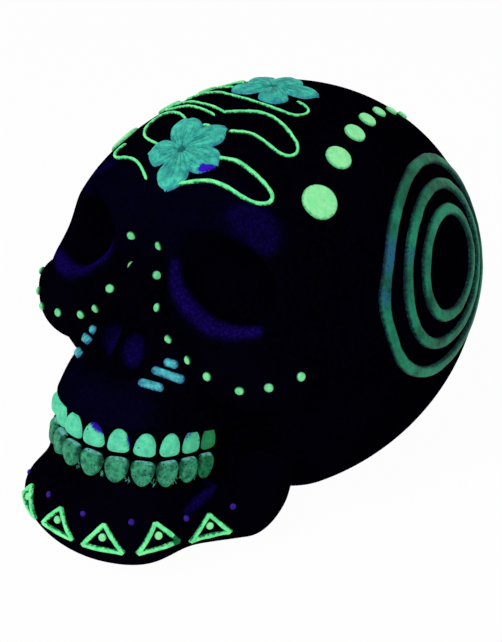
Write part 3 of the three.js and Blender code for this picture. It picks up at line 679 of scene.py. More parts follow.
def joined(name, pieces):
    """Several closed pieces as one object."""
    chosen = {"active_object": pieces[0], "selected_objects": pieces, "selected_editable_objects": pieces}
    with bpy.context.temp_override(**chosen):
        bpy.ops.object.join()
    pieces[0].name = name
    return pieces[0]


# Materials


def colour(*levels):
    """A colour written in 0 to 255, as the screen shows it."""
    shown = np.array(levels) / 255
    return (*np.where(shown <= 0.04045, shown / 12.92, ((shown + 0.055) / 1.055) ** 2.4).tolist(), 1)


class Graph:
    """Nodes laid in the tree of a material or of the world."""

    def __init__(self, owner):
        owner.use_nodes = True
        self.owner = owner
        self.tree = owner.node_tree
        self.tree.nodes.clear()

    def add(self, kind, inputs, **settings):
        """A node with its settings, and a plain value or a link for each socket named."""
        node = self.tree.nodes.new(kind)
        for key, value in settings.items():
            setattr(node, key, value)
        for name, value in inputs.items():
            if isinstance(value, bpy.types.NodeSocket):
                self.tree.links.new(value, node.inputs[name])
            else:
                node.inputs[name].default_value = value
        return node

    def noise(self, size, detail, roughness=0.55):
        """A noise whose features are about size millimetres across."""
        inputs = {"Scale": 1 / (size * MM), "Detail": detail, "Roughness": roughness, "Vector": self.spot}
        return self.add("ShaderNodeTexNoise", inputs).outputs["Fac"]

    def cells(self, size, feature="F1"):
        inputs = {"Scale": 1 / (size * MM), "Vector": self.spot}
        return self.add("ShaderNodeTexVoronoi", inputs, feature=feature).outputs["Distance"]

    def mark(self, name):
        return self.add("ShaderNodeAttribute", {}, attribute_name=name).outputs["Fac"]

    def spread(self, value, low, high, to_low=0.0, to_high=1.0):
        """A value from low to high, stretched to go from to_low to to_high and no further."""
        inputs = {"Value": value, "From Min": low, "From Max": high, "To Min": to_low, "To Max": to_high}
        return self.add("ShaderNodeMapRange", inputs, clamp=True).outputs["Result"]

    def reckon(self, kind, first, second):
        return self.add("ShaderNodeMath", {0: first, 1: second}, operation=kind).outputs[0]

    def blend(self, share, first, second, kind="MIX"):
        node = self.add("ShaderNodeMix", {0: share, 6: first, 7: second}, data_type="RGBA", blend_type=kind)
        return node.outputs[2]

    def filtered(self, tint, red, green, blue):
        return self.blend(1.0, tint, (red, green, blue, 1), "MULTIPLY")

    def bump(self, height, depth, before=None):
        """A bump of about depth millimetres for a height from 0 to 1."""
        inputs = {"Strength": 1, "Distance": depth * MM, "Height": height}
        if before is not None:
            inputs["Normal"] = before
        return self.add("ShaderNodeBump", inputs).outputs["Normal"]

    def background_ray(self, low, high):
        """High where the camera, a gloss or a glass sees the background, and low where it gives light."""
        rays = self.add("ShaderNodeLightPath", {}).outputs
        seen = self.reckon("ADD", rays["Is Camera Ray"], rays["Is Glossy Ray"])
        return self.spread(self.reckon("ADD", seen, rays["Is Transmission Ray"]), 0, 1, low, high)

    def finish(self, inputs):
        """Ends a material with a shader that is fed like this."""
        shader = self.add("ShaderNodeBsdfPrincipled", inputs)
        self.add("ShaderNodeOutputMaterial", {"Surface": shader.outputs["BSDF"]})
        return self.owner


def surface(name):
    """The graph of a new material, with the object's own coordinates."""
    g = Graph(bpy.data.materials.new(name))
    g.spot = g.add("ShaderNodeTexCoord", {}).outputs["Object"]
    return g


def resin_material():
    """Near-black resin with a pebbled skin, and grainy indigo painted as light where the lamp falls, as
    strongly as its mark says.
    """
    g = surface("resin")
    dark = g.blend(g.spread(g.noise(26, 4), 0.35, 0.7), colour(1, 1, 4), colour(3, 2, 10))
    dark = g.blend(g.spread(g.noise(1.5, 3), 0.42, 0.78, 0, 0.4), dark, colour(6, 3, 24))
    grains = g.spread(g.cells(0.9), 0.15, 0.6, 1, 0)
    # Painted light: grainy indigo where the lamp falls, as strongly as the mark says
    painted_indigo_light = g.blend(grains, colour(20, 5, 88), colour(40, 14, 134))
    share = g.reckon("MULTIPLY", g.mark("bare"), g.spread(g.noise(4, 3), 0.3, 0.7, 0.65, 1.2))
    pebble = g.spread(g.cells(1.25, "SMOOTH_F1"), 0.1, 0.75, 1, 0)
    return g.finish({
        "Base Color": g.blend(g.spread(share, 0, 1), dark, painted_indigo_light),
        "Roughness": g.spread(g.noise(3, 2), 0.3, 0.7, 0.55, 0.7),
        "Specular IOR Level": 0,
        "Normal": g.bump(g.noise(6, 3), 0.3, before=g.bump(pebble, 0.12)),
    })


def glowing(g, tint, glow, body, roughness, grained):
    """Ends a fluorescent paint with a painted glow: its colour glows a little by itself, though it is no
    lamp, and otherwise takes the light.
    """
    return g.finish({
        "Emission Color": tint,
        "Emission Strength": glow,
        "Base Color": g.filtered(tint, body, body, body),
        "Roughness": g.spread(g.noise(1.5, 2), 0.3, 0.7, *roughness),
        "Specular IOR Level": 0.06,
        "Normal": grained,
    })


def paint_material(name, lit, shaded, edge, edge_at, blotch, glow=0.62, grain=0.05, streaks=0.0, pits=0.0,
                   pit_size=0.9, dimmed=None, second=None):
    """Paint brushed on relief: blotchy, streaked and pitted, and of another colour where it thins out at its
    rims and where the teeth carry painted shade and a painted violet highlight.

    edge_at says where that colour starts, how softly and how raggedly."""
    g = surface(name)
    tint = g.blend(g.spread(g.noise(blotch, 4, 0.6), 0.36, 0.66), colour(*lit), colour(*shaded))
    streak = g.spread(g.noise(0.9, 5, 0.75), 0.52, 0.66, 0, streaks)
    tint = g.blend(streak, tint, g.filtered(tint, 0.3, 0.42, 0.4))
    # Painted shade: the colour darkened through a filter where it is marked
    if dimmed:
        tint = g.blend(g.mark("dim"), tint, g.filtered(tint, *dimmed))
    if second:
        share = g.reckon("MULTIPLY", g.mark("bare"), g.spread(g.noise(0.9, 4, 0.7), 0.35, 0.65, 0.3, 1.5))
        tint = g.blend(g.spread(share, 0.35, 0.8), tint, colour(*second))
    start, soft, rough = edge_at
    ragged = g.reckon("ADD", g.mark("thin"), g.spread(g.noise(0.8, 3), 0.25, 0.75, -rough, rough))
    tint = g.blend(g.spread(ragged, start, start + soft), tint, colour(*edge))
    if pits:
        patches = g.spread(g.noise(3.5, 2), 0.62 - 0.25 * pits, 0.7 - 0.25 * pits)
        if second:
            patches = g.reckon("MAXIMUM", patches, g.mark("bare"))
        spots = g.reckon("MULTIPLY", g.spread(g.cells(pit_size), 0.12, 0.26, 1, 0), patches)
        tint = g.blend(spots, tint, colour(4, 10, 30))
    fine = g.bump(g.noise(0.45, 4, 0.65), grain)
    return glowing(g, tint, glow, 0.4, (0.42, 0.62), g.bump(g.noise(2.6, 2), 0.12, before=fine))


def petal_material():
    """Teal paint, bluer at the petals' edges, with painted shade down the veins' grooves and at the petals'
    roots, and violet where it has come off.
    """
    g = surface("petal_paint")
    tint = g.blend(g.spread(g.noise(2.6, 4, 0.6), 0.36, 0.66), colour(76, 212, 182), colour(42, 148, 142))
    tint = g.blend(g.spread(g.noise(0.7, 4, 0.7), 0.48, 0.7, 0, 0.75), tint, colour(36, 120, 128))
    tint = g.blend(g.spread(g.mark("dim"), 0.1, 0.95, 0, 0.85), tint, colour(10, 66, 78))
    ragged = g.reckon("ADD", g.mark("thin"), g.spread(g.noise(0.9, 3), 0.25, 0.75, -0.3, 0.3))
    tint = g.blend(g.spread(ragged, 0.6, 1.2, 0, 0.7), tint, colour(44, 76, 176))
    bare = g.reckon("MULTIPLY", g.mark("bare"), g.spread(g.noise(1.1, 3), 0.3, 0.7, 0.6, 1.4))
    tint = g.blend(g.spread(bare, 0.45, 0.6), tint, colour(50, 14, 184))
    return glowing(g, tint, 0.6, 0.42, (0.5, 0.7), g.bump(g.noise(0.5, 4, 0.65), 0.09))


PAINTS = {
    # The upper teeth's violet edge colour is a painted highlight
    "tooth_paint": dict(
        lit=(104, 226, 180), shaded=(76, 194, 154), edge=(46, 18, 160), edge_at=(0.3, 0.45, 0.35),
        blotch=2.2, grain=0.08, streaks=0.35, pits=0.2, pit_size=1.7, dimmed=(0.16, 0.34, 0.2),
    ),
    # The lower teeth's paint is darker in part as painted shade under the upper row, and its edge colour is
    # painted shade on their sides
    "dim_tooth_paint": dict(
        lit=(66, 166, 124), shaded=(30, 100, 76), edge=(8, 44, 36), edge_at=(0.3, 0.9, 0.25), blotch=1.6,
        grain=0.14, streaks=0.9, pits=0.8, pit_size=1.1, dimmed=(0.3, 0.5, 0.36), second=(104, 180, 178),
    ),
    "line_paint": dict(
        lit=(128, 248, 162), shaded=(84, 212, 136), edge=(10, 100, 58), edge_at=(0.76, 0.25, 0.24),
        blotch=2.2, glow=0.74, streaks=0.25,
    ),
    # The rings' colours are darker in part as painted shade, for the sides of the head get less light
    "ring_paint": dict(
        lit=(32, 134, 100), shaded=(12, 66, 46), edge=(5, 20, 34), edge_at=(0.6, 0.42, 0.14), blotch=9,
        grain=0.11, streaks=0.6, pits=0.3, second=(32, 90, 124),
    ),
    "dot_paint": dict(
        lit=(156, 244, 170), shaded=(128, 234, 158), edge=(40, 150, 100), edge_at=(0.88, 0.16, 0.06),
        blotch=2.6, streaks=0.3,
    ),
    "dash_paint": dict(
        lit=(88, 200, 206), shaded=(50, 142, 150), edge=(28, 54, 120), edge_at=(0.62, 0.5, 0.2),
        blotch=1.6, streaks=0.5,
    ),
    "cheek_paint": dict(
        lit=(134, 232, 164), shaded=(88, 206, 130), edge=(12, 80, 52), edge_at=(0.45, 0.45, 0.12),
        blotch=1.2, streaks=0.2,
    ),
    "violet_paint": dict(
        lit=(74, 32, 168), shaded=(48, 18, 132), edge=(18, 6, 64), edge_at=(0.5, 0.5, 0.35),
        blotch=1.2, glow=0.45,
    ),
}
MATERIALS = {name: paint_material(name, **look) for name, look in PAINTS.items()}
MATERIALS["petal_paint"] = petal_material()
MATERIALS["resin"] = resin_material()


def dress(piece, paint, node):
    """Gives a piece its paint, lets it ride on the skull and stand for its solid."""
    piece.data.materials.clear()
    piece.data.materials.append(MATERIALS[paint])
    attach(piece, "root")
    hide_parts(node)


# The two castings


def creased(piece):
    """Shades a piece smooth up to its sharp edges."""
    piece.data.polygons.foreach_set("use_smooth", [True] * len(piece.data.polygons))
    piece.data.set_sharp_from_angle(angle=math.radians(CREASE_DEGREES))


def mark_painted_light(piece, painted_lights):
    """Marks how strongly indigo is painted as light at each point of a casting, narrower at the ends of a
    line.
    """
    points = np.empty(3 * len(piece.data.vertices), dtype=np.float32)
    piece.data.vertices.foreach_get("co", points)
    points = points.reshape(-1, 3) / MM
    points[:, 0] = np.abs(points[:, 0])
    share = np.zeros(len(points))
    for reach, strength, knots in painted_lights:
        line = smooth_line([place(knot) for knot in knots], reach / 4)
        for along, spot in zip(np.linspace(0, 1, len(line)), line):
            breadth = reach * (0.45 + 0.55 * math.sin(math.pi * along) ** 0.7)
            away = np.linalg.norm(points - spot, axis=1)
            share = np.maximum(share, strength * np.exp(-((away / breadth) ** 4)))
    mark(piece.data, "bare", share)


def casting(name, node, body, box, cutters, painted_lights):
    piece = skin(name, body, *box)
    for cutter in cutters:
        subtract(piece, cutter)
    creased(piece)
    mark_painted_light(piece, painted_lights)
    dress(piece, "resin", node)


MOUTH_LOW = (-SKULL_BREADTH, MOUTH_DEPTH - SKULL_LENGTH, -SKULL_HEIGHT)
MOUTH_HIGH = (SKULL_BREADTH, MOUTH_DEPTH, -BITE_GAP / 2)
MOUTH_INNER_HIGH = (SKULL_BREADTH, MOUTH_DEPTH - CLEARANCE, -BITE_GAP / 2 - CLEARANCE)
SLOT_BACK = CROWN_PROUD - CROWN_DEPTH - CLEARANCE
SLOT_BOTTOM = -BITE_GAP - LOWER_CROWN_HEIGHT - CLEARANCE
SLOT_TOP = UPPER_CROWN_HEIGHT + CLEARANCE
BOX_HIGH = (HALF_BREADTH + BOX_MARGIN, HALF_LENGTH + BOX_MARGIN, SKULL_HEIGHT + 2 * BOX_MARGIN)
HEAD_BOX = (-HALF_BREADTH - BOX_MARGIN, -HALF_LENGTH - BOX_MARGIN, -2 * BOX_MARGIN), BOX_HIGH
JAW_LOW = (-HALF_BREADTH, -HALF_LENGTH - BOX_MARGIN, -2 * BOX_MARGIN)
JAW_BOX = JAW_LOW, (HALF_BREADTH, BOX_MARGIN, SKULL_HEIGHT / 2)

mouth = slab("mouth_cut", MOUTH_LOW, MOUTH_HIGH, bitten)
mouth_inner = slab("mouth_inner_cut", MOUTH_LOW, MOUTH_INNER_HIGH, bitten)
tooth_slot = arch_strip("slot_cut", SLOT_BACK, MOUTH_REACH, SLOT_BOTTOM, SLOT_TOP)
ground = slab("ground_cut", (-SKULL_LENGTH, -SKULL_LENGTH, -SKULL_HEIGHT), (SKULL_LENGTH, SKULL_LENGTH, 0))
casting("skull_casting", "cranium", cranium_body, HEAD_BOX, (mouth, tooth_slot, ground), PAINTED_LIGHT_SHARES)
grown = skin("grown_cut", cranium_body, *HEAD_BOX, CLEARANCE)
subtract(grown, mouth_inner)
casting("jaw_casting", "mandible", jaw_body, JAW_BOX, (grown, tooth_slot, ground), JAW_PAINTED_LIGHT_SHARES)
for cutter in (mouth, mouth_inner, tooth_slot, ground, grown):
    bpy.data.objects.remove(cutter)


# Teeth

# A crown's shape: how square it is, how much its neck narrows and how its face swells
EDGE_SQUARE = 3.8
NECK_SQUARE = 2.1
UPPER_TAPER = 0.3
LOWER_TAPER = 0.34
FACE_FLATNESS = 3.6
FACE_ROUNDNESS = 1 / 1.9
# How far one crown may differ from the next
SIDE_RIPPLE = 0.022
END_RIPPLE = 0.015
SIDE_LEAN = 0.07
EDGE_LEAN = 0.05
FACE_LEAN = 0.25
SHORTEST = 0.94
LARGEST_TURN = 0.05
# In millimetres: how far the face falls back to the biting edge, and its upright grooves
EDGE_FALL = 0.28
GROOVE_DEPTH = 0.12
CROWN_FACES = capped_rings(TOOTH_AROUND, 2 * TOOTH_RINGS - 1)


def tooth(width, tall, drawn, lower):
    """One crown: its points, and how far right and up each point lies, from -1 to 1.

    x runs along the arch, y from the biting edge to the neck and z outwards."""
    across, up = circle(1, TOOTH_AROUND).T
    square = np.where(up < 0, EDGE_SQUARE, NECK_SQUARE)
    x = np.sign(across) * np.abs(across) ** (2 / square)
    y = np.sign(up) * np.abs(up) ** (2 / square)
    taper = 1 - (LOWER_TAPER if lower else UPPER_TAPER) * np.clip((y + 0.6) / 1.6, 0, 1) ** 1.15
    x = x * taper * (1 + wobble(TOOTH_AROUND, SIDE_RIPPLE, drawn.integers(1000)))
    x = x + drawn.uniform(-SIDE_LEAN, SIDE_LEAN) * np.clip(y, -0.5, 1)
    y = y * (1 + wobble(TOOTH_AROUND, END_RIPPLE, drawn.integers(1000)))
    y = np.where(up < 0, y + drawn.uniform(-EDGE_LEAN, EDGE_LEAN) * x, y)
    lean = drawn.uniform(-FACE_LEAN, FACE_LEAN)
    half = CROWN_DEPTH / 2
    shares = np.sin(np.linspace(0, math.pi / 2, TOOTH_RINGS + 1))[1:]
    points, spots = [], []
    for share, front in [(0, 1), *((s, 1) for s in shares), *((s, 0) for s in shares[-2::-1]), (0, 0)]:
        px, py = x * share, y * share
        swell = half * np.maximum(1 - share ** FACE_FLATNESS, 0) ** FACE_ROUNDNESS
        fall = EDGE_FALL * np.clip(-py, 0, 1) ** 2 * front
        groove = GROOVE_DEPTH * np.cos(px * 7.5 + lean) * (1 - share ** 2) * front
        z = CROWN_PROUD - half + (swell - fall + groove if front else -swell) + lean * px * 0.35
        kept = TOOTH_AROUND if share else 1
        points.append(np.stack([px * width / 2, tall / 2 + py * tall / 2, z], axis=1)[:kept])
        spots.append(np.stack([px, py], axis=1)[:kept])
    return np.vstack(points), np.vstack(spots)


def tooth_row(name, paint, node, tall, lower, seed):
    """Crowns along the arch: a painted violet highlight at the upper crowns' rims, painted shade on the
    lower crowns' sides and on the hindmost crowns, pale on lower biting edges.
    """
    drawn = np.random.default_rng(seed)
    points, faces, thin, dim, pale = [], [], [], [], []
    for i, width in enumerate(ROW_WIDTHS):
        foot, along, outward = arch_frame(ROW_START + sum(ROW_WIDTHS[:i]) + width / 2)
        made, spots = tooth(width - (LOWER_GAP if lower else UPPER_GAP), tall, drawn, lower)
        made[:, 1] *= drawn.uniform(SHORTEST, 1.0)
        if lower:
            made[:, :2] *= -1
            made[:, 1] -= BITE_GAP
        turn = drawn.uniform(-LARGEST_TURN, LARGEST_TURN)
        turned = along * math.cos(turn) + outward * math.sin(turn)
        outward = outward * math.cos(turn) - along * math.sin(turn)
        points.append(bitten(foot + made @ np.array([turned, ABOVE, outward])))
        faces += [tuple(i * len(made) + k for k in face) for face in CROWN_FACES]
        # Upper crowns: a painted violet highlight at the rim; lower crowns: painted shade on their sides
        rightward, upward, start_at = PAINTED_VIOLET_HIGHLIGHTS.get(i, (0, 1, 0.93))
        reach = np.abs(spots[:, 0]) - 0.1 * spots[:, 1] if lower else spots @ (rightward, upward)
        thin.append(np.clip((reach - (0.62 if lower else start_at)) / 0.3, 0, 1))
        pale.append(np.clip((-spots[:, 1] - 0.8) / 0.2, 0, 0.8) * lower)
        # Painted shade on the hindmost crowns, at the back of the mouth
        back = abs(i - (len(ROW_WIDTHS) - 1) / 2) - 0.5
        dim.append(np.full(len(made), np.clip((back - 3.6) / 1.4, 0, 1)))
    marks = {"thin": np.concatenate(thin), "dim": np.concatenate(dim), "bare": np.concatenate(pale)}
    dress(mesh_object(name, np.vstack(points), faces, **marks), paint, node)


def fleck(name, passed, drawn):
    """One ragged thread of paint left on the gum, near some length along the arch."""
    foot, along, outward = arch_frame(passed + drawn.uniform(-1.1, 1.1))
    low = BITE_GAP + LOWER_CROWN_HEIGHT * drawn.uniform(0.74, 0.98)
    wander = np.cumsum(drawn.uniform(-0.1, 0.1, FLECK_STEPS) + drawn.uniform(-0.12, 0.12))[:, None] * along
    climb = np.linspace(0, drawn.uniform(0.7, 1.6), FLECK_STEPS)[:, None] * ABOVE
    trail = bitten(foot - outward * FLECK_SUNK - ABOVE * low + wander + climb)
    facing = np.repeat(bitten(foot + outward)[None, :] - bitten(foot), FLECK_STEPS, axis=0)
    broad = drawn.uniform(0.14, 0.28)
    half_pale = np.full(FLECK_STEPS, 0.5)
    seed = drawn.integers(9999)
    return bead(name, trail, facing, broad, FLECK_HEIGHT, False, 2, seed, 0.5, worn=half_pale)


tooth_row("upper_crowns", "tooth_paint", "upper_teeth", UPPER_CROWN_HEIGHT, False, 11)
tooth_row("lower_crowns", "dim_tooth_paint", "lower_teeth", LOWER_CROWN_HEIGHT, True, 12)
for name, node, bottom, top in (
    ("upper_gum", "upper_teeth", GUM_BARED, SLOT_TOP),
    ("lower_gum", "lower_teeth", SLOT_BOTTOM, -BITE_GAP - GUM_BARED),
):
    gum = arch_strip(name, CROWN_PROUD - CROWN_DEPTH, GUM_FACE, bottom, top, ROW_START + GUM_MARGIN)
    dress(gum, "resin", node)
    creased(gum)
drawn = np.random.default_rng(13)
feet = ROW_START + np.cumsum(ROW_WIDTHS[:-1])
threads = [fleck("lower_paint_flecks", foot, drawn) for foot in feet for _ in range(FLECKS_BETWEEN_TEETH)]
dress(joined("lower_paint_flecks", threads), "dim_tooth_paint", "lower_teeth")


# Relief pieces


def petal_points(reach, width, point, drawn):
    """Points on one petal: how far along and across it each lies, and both lengths."""
    along = np.linspace(0, 1, PETAL_ROWS)
    swell = np.sin(math.pi * along ** 1.45) ** (0.6 + 0.4 * point)
    half = width / 2 * np.maximum(swell, 0.2 * (1 - along) ** 2 + 0.34 * along * (1 - along))
    half = half * (1 + 0.025 * np.sin(along * 15 + drawn.uniform(0, 6)))
    half[-1] = 0.04 * width
    u, v = np.meshgrid(along, np.linspace(-1, 1, PETAL_COLUMNS), indexing="ij")
    ruffle = 1 + 0.03 * np.sin(v * 5 + drawn.uniform(0, 6)) * u ** 3
    bend = drawn.uniform(-0.06, 0.06) * u ** 2
    return u, v, u * reach * ruffle, (v * half[:, None] + bend) * reach


def petal_faces():
    """Faces of a petal's top, of its underside and of the rim between them."""
    rows, columns = PETAL_ROWS, PETAL_COLUMNS
    size = rows * columns
    faces = []
    for i in range(rows - 1):
        for a in range(i * columns, (i + 1) * columns - 1):
            b = a + columns
            faces.append((a, b, b + 1, a + 1))
            faces.append((size + a + 1, size + b + 1, size + b, size + a))
    rim = [i * columns for i in range(rows - 1)] + [size - columns + k for k in range(columns - 1)]
    rim += [size - 1 - here for here in rim]
    for a, b in zip(rim, rim[1:] + rim[:1]):
        faces.append((b, a, size + a, size + b))
    return faces


def petal_shell(land, petal, layer, seed):
    """One petal's points and marks: a veined, cupped top and a rooted underside."""
    drawn = np.random.default_rng(seed)
    bearing, reach, width, point, worn = petal
    u, v, length, breadth = petal_points(reach * FLOWER_REACH, width, point, drawn)
    flat = np.stack([length.ravel(), breadth.ravel()], axis=1)
    points, normals = land(rotated(flat, bearing))
    cup = np.maximum(1 - np.abs(v) ** 2.8, 0) ** 0.62
    rise = np.clip(u / 0.2, 0, 1) ** 0.8 * np.maximum(1 - u ** 8, 0) ** 0.5
    phase = drawn.uniform(-0.4, 0.4)
    fans = np.abs(np.sin(v * (10.5 - 3 * u) + phase)) ** 5
    fans = fans * np.clip(u * 4, 0, 1) * np.clip(1.25 - u * 1.15, 0, 1)
    midrib = np.exp(-((v / 0.07) ** 2)) * np.clip(1 - u * 0.9, 0, 1)
    relief = 0.12 + 0.74 * cup * rise - 0.1 * midrib - 0.14 * fans * cup
    height = FLOWER_HEIGHT * relief + layer + 0.16 * v * u * cup
    height = np.where((np.abs(v) > 0.999) | (u > 0.999), -ROOTED, height)
    top = points + normals * height.ravel()[:, None]
    thin = np.clip(np.maximum(np.abs(v) ** 4, u ** 7), 0, 1) * np.clip(u * 2.4, 0, 1)
    # Painted shade in the grooves of the midrib and fans, and at the petal's root by the flower's middle
    vein_shade = np.clip(0.8 * midrib + 0.75 * fans + 1.6 * np.exp(-((u / 0.09) ** 2)), 0, 1)
    bare = np.clip(1.5 - 4.3 * np.hypot(u - 0.94, (v + 0.66) * 0.6), 0, 1) * worn
    marks = np.array([values.ravel() for values in (thin, vein_shade, bare)])
    return np.vstack([top, points - normals * ROOTED * 1.5]), np.hstack([marks, marks])


def flower(name, spot, petals):
    land = chart(cranium_body, seat_on_head((*spot, OUTSIDE), -ABOVE), BACKWARD)
    shells = [petal_shell(land, petal, PETAL_LAYER * (i % 2), 90 + i) for i, petal in enumerate(petals)]
    points = np.vstack([made for made, _ in shells])
    thin, dim, bare = np.hstack([marks for _, marks in shells])
    each = 2 * PETAL_ROWS * PETAL_COLUMNS
    faces = [tuple(i * each + k for k in face) for i in range(len(shells)) for face in petal_faces()]
    return mesh_object(name, points, faces, thin=thin, dim=dim, bare=bare)


def scroll(name, seed, before, beyond, breadth, shares):
    knots = np.array([place((x, y, 0))[:2] for x, y in shares])
    for end, neighbour, further in ((0, 1, before), (-1, -2, beyond)):
        knots[end] += unit(knots[end] - knots[neighbour]) * further
    line = smooth_line(knots, SCROLL_SPACING)
    origins = np.column_stack([line, np.full(len(line), OUTSIDE * SKULL_HEIGHT)])
    points, normals = land_from(cranium_body, origins, -ABOVE)
    width, height = SCROLL_WIDTH * breadth, SCROLL_HEIGHT * breadth
    return bead(name, points, normals, width, height, False, 2, seed, 0.13)


def side_ring(name, side, radius, seed, worn_share):
    """A ring on the side of the head, worn most in two places given by their bearings."""
    land = chart(cranium_body, seat_on_head((side * OUTSIDE, *RING_CENTRE_SHARES), -side * LEFTWARD))
    steps = round(2 * math.pi * radius / RING_SPACING)
    s, t = (circle(radius, steps) * (1 + wobble(steps, 0.006, seed))[:, None]).T
    long, tall = RING_REACH_SHARES
    points, normals = land(np.stack([long * s + side * RING_LEAN_SHARE * t, tall * t], axis=1))
    turn = np.degrees(np.arctan2(t, -s * side))
    worn = sum(share * np.exp(-(((turn - bearing) / reach) ** 2)) for bearing, reach, share in RING_WORN)
    return bead(name, points, normals, RING_WIDTH, RING_HEIGHT, True, 3, seed, 0.07, worn=worn_share * worn)


def dot(name, body, seat, diameter, flatness, seed, steps=48):
    outline = circle(diameter / 2, steps) * (1 + wobble(steps, 0.015, seed))[:, None]
    return patch(name, chart(body, seat), outline, button(DOT_HEIGHT, flatness), DOT_RINGS)


def capsule(length, tilt):
    """The outline of a dash with round ends."""
    straight = (length * HALF_BREADTH - DASH_WIDTH) / 2
    flat = circle(DASH_WIDTH / 2, 48)
    flat[:, 0] += np.sign(np.round(flat[:, 0], 6)) * straight
    return rotated(flat, tilt)


def blade(name, seat, seed):
    """A triangle's line, with its paint worn off near one corner of one of them."""
    corners = [(-BLADE_SIDE / 2, -BLADE_TALL / 2), (BLADE_SIDE / 2, -BLADE_TALL / 2), (0, BLADE_TALL / 2)]
    outline = []
    for (x, y), (m, n) in zip(corners, corners[1:] + corners[:1]):
        for share in np.linspace(0.04, 0.96, BLADE_STEPS):
            outline.append((x + (m - x) * share, y + (n - y) * share))
    outline = np.array(outline)
    points, normals = chart(jaw_body, seat)(outline)
    faded = None
    if name.startswith(WORN_BLADE):
        faded = 2.4 * np.exp(-((outline - WORN_CORNER) ** 2).sum(axis=1) / 2)
    return bead(name, points, normals, BLADE_LINE, DOT_HEIGHT, True, 2.2, seed, 0.12, faded)


for name, layout in FLOWERS.items():
    dress(flower(name + "_relief", *layout), "petal_paint", name)
for seed, (name, layout) in enumerate(SCROLLS.items()):
    dress(scroll(name + "_relief", seed, *layout), "line_paint", name)

for hand, side in SIDES.items():
    for i, band in enumerate(("inner", "middle", "outer")):
        node = f"{hand}_{band}_ring"
        ring = side_ring(node + "_relief", side, RING_INNER_RADIUS + i * RING_PITCH, 20 + i, RING_WEAR[i])
        dress(ring, "ring_paint", node)
    for i, (x, y) in enumerate(TEMPLE_DOT_SHARES):
        node = f"{hand}_temple_dot_{i + 1}"
        seat = seat_on_head((side * x, y, OUTSIDE), -ABOVE)
        relief = dot(node + "_relief", cranium_body, seat, TEMPLE_DOT_DIAMETERS[i], BROAD_FLATNESS, 30 + i)
        dress(relief, "dot_paint", node)
    for i, (x, z, length, tilt) in enumerate(DASH_SHARES):
        node = f"{hand}_cheek_dash_{i + 1}"
        land = chart(cranium_body, seat_on_head((side * x, -OUTSIDE, z), BACKWARD))
        outline = capsule(length, side * tilt)
        relief = patch(node + "_relief", land, outline, button(DOT_HEIGHT, SMALL_FLATNESS), DASH_RINGS)
        dress(relief, "dash_paint", node)
    beads = []
    for i, (x, z) in enumerate(CHEEK_DOT_SHARES):
        seat = seat_on_head((side * x, -OUTSIDE, z), BACKWARD)
        beads.append(ball_bead(f"{hand}_cheek_bead_{i}", seat, 50 + i, **CHEEK_BEAD))
    dress(joined(f"{hand}_cheek_beads", beads), "cheek_paint", "cranium")

beads = []
for i, (bearing, share) in enumerate(JAW_DOT_PLACES):
    beads.append(ball_bead(f"jaw_bead_{i}", seat_on_jaw(bearing, share), 60 + i, **JAW_BEAD))
dress(joined("jaw_beads", beads), "violet_paint", "mandible")
for i, (stem, (bearing, share)) in enumerate(BLADE_PLACES.items()):
    seat = seat_on_jaw(bearing, share)
    dress(blade(stem + "_triangle_relief", seat, 70 + i), "line_paint", stem + "_triangle")
    middle = dot(stem + "_dot_relief", jaw_body, seat, BLADE_DOT_DIAMETER, SMALL_FLATNESS, 80 + i, 28)
    dress(middle, "dot_paint", stem + "_dot")


# Stage, light and camera

FLOOR_REACH = 3
FLOOR_DROP = 0.0002
FLOOR_SHARE = 0.975
FLOOR_WHITE = (0.9, 0.9, 0.9, 1)
SKY_LIGHT = 0.16
# Each lamp has a place, a size and a power
LAMPS = {"key": ((0.05, -0.72, 0.72), 0.45, 6), "fill": ((0.75, -0.3, 0.5), 0.6, 1.5)}
LAMP_TARGET = (0, 0, 0.06)
# The camera that fits the photo, with its focal length in the photo's pixels
PHOTO_HEIGHT = 642
FOCAL_PIXELS = 1424.5
SENSOR = 36
CAMERA_AT = (0.2337, -0.2823, 0.2437)
CAMERA_AHEAD = (-0.561, 0.678, -0.474)
CAMERA_RIGHT = (0.7705, 0.6374, 0)
NEAR_CLIP = 0.01


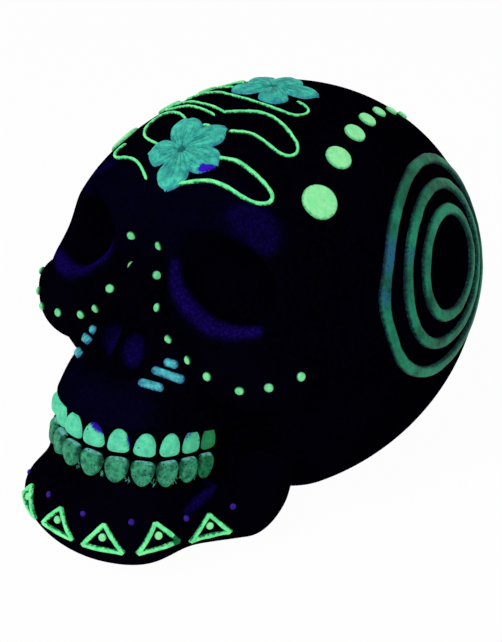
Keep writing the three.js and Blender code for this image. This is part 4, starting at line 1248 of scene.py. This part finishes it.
def added(name, data, at=(0, 0, 0)):
    made = bpy.data.objects.new(name, data)
    made.location = at
    bpy.context.scene.collection.objects.link(made)
    return made


def floor_material():
    """Pale floor: white to the camera, and it keeps the object's shadow."""
    g = Graph(bpy.data.materials.new("floor_paint"))
    pale = g.add("ShaderNodeBsdfDiffuse", {"Color": FLOOR_WHITE}).outputs[0]
    white = g.add("ShaderNodeEmission", {"Strength": 1}).outputs[0]
    both = g.add("ShaderNodeMixShader", {0: g.background_ray(0, FLOOR_SHARE), 1: pale, 2: white})
    g.add("ShaderNodeOutputMaterial", {"Surface": both.outputs[0]})
    return g.owner


floor_mesh = bpy.data.meshes.new("floor")
floor_corners = [(x * FLOOR_REACH, y * FLOOR_REACH, 0) for x, y in ((-1, -1), (1, -1), (1, 1), (-1, 1))]
floor_mesh.from_pydata(floor_corners, [], [(0, 1, 2, 3)])
floor_mesh.materials.append(floor_material())
added("floor", floor_mesh, (0, 0, -FLOOR_DROP))

world = bpy.data.worlds.new("studio")
bpy.context.scene.world = world
g = Graph(world)
sky = g.add("ShaderNodeBackground", {"Color": (1, 1, 1, 1), "Strength": g.background_ray(SKY_LIGHT, 1)})
g.add("ShaderNodeOutputWorld", {"Surface": sky.outputs[0]})

for name, (at, size, power) in LAMPS.items():
    data = bpy.data.lights.new(name, "AREA")
    data.size = size
    data.energy = power
    aim = Vector(LAMP_TARGET) - Vector(at)
    added(name, data, at).rotation_euler = aim.to_track_quat("-Z", "Y").to_euler()

camera_data = bpy.data.cameras.new("camera")
camera_data.sensor_width = SENSOR
camera_data.lens = FOCAL_PIXELS * SENSOR / PHOTO_HEIGHT
camera_data.clip_start = NEAR_CLIP
camera = added("camera", camera_data)
ahead = Vector(CAMERA_AHEAD).normalized()
right = Vector(CAMERA_RIGHT)
right = (right - ahead * right.dot(ahead)).normalized()
stand = Matrix((right, right.cross(ahead), -ahead)).transposed().to_4x4()
camera.matrix_world = Matrix.Translation(Vector(CAMERA_AT)) @ stand
bpy.context.scene.camera = camera
bpy.context.scene.view_settings.view_transform = "Standard"
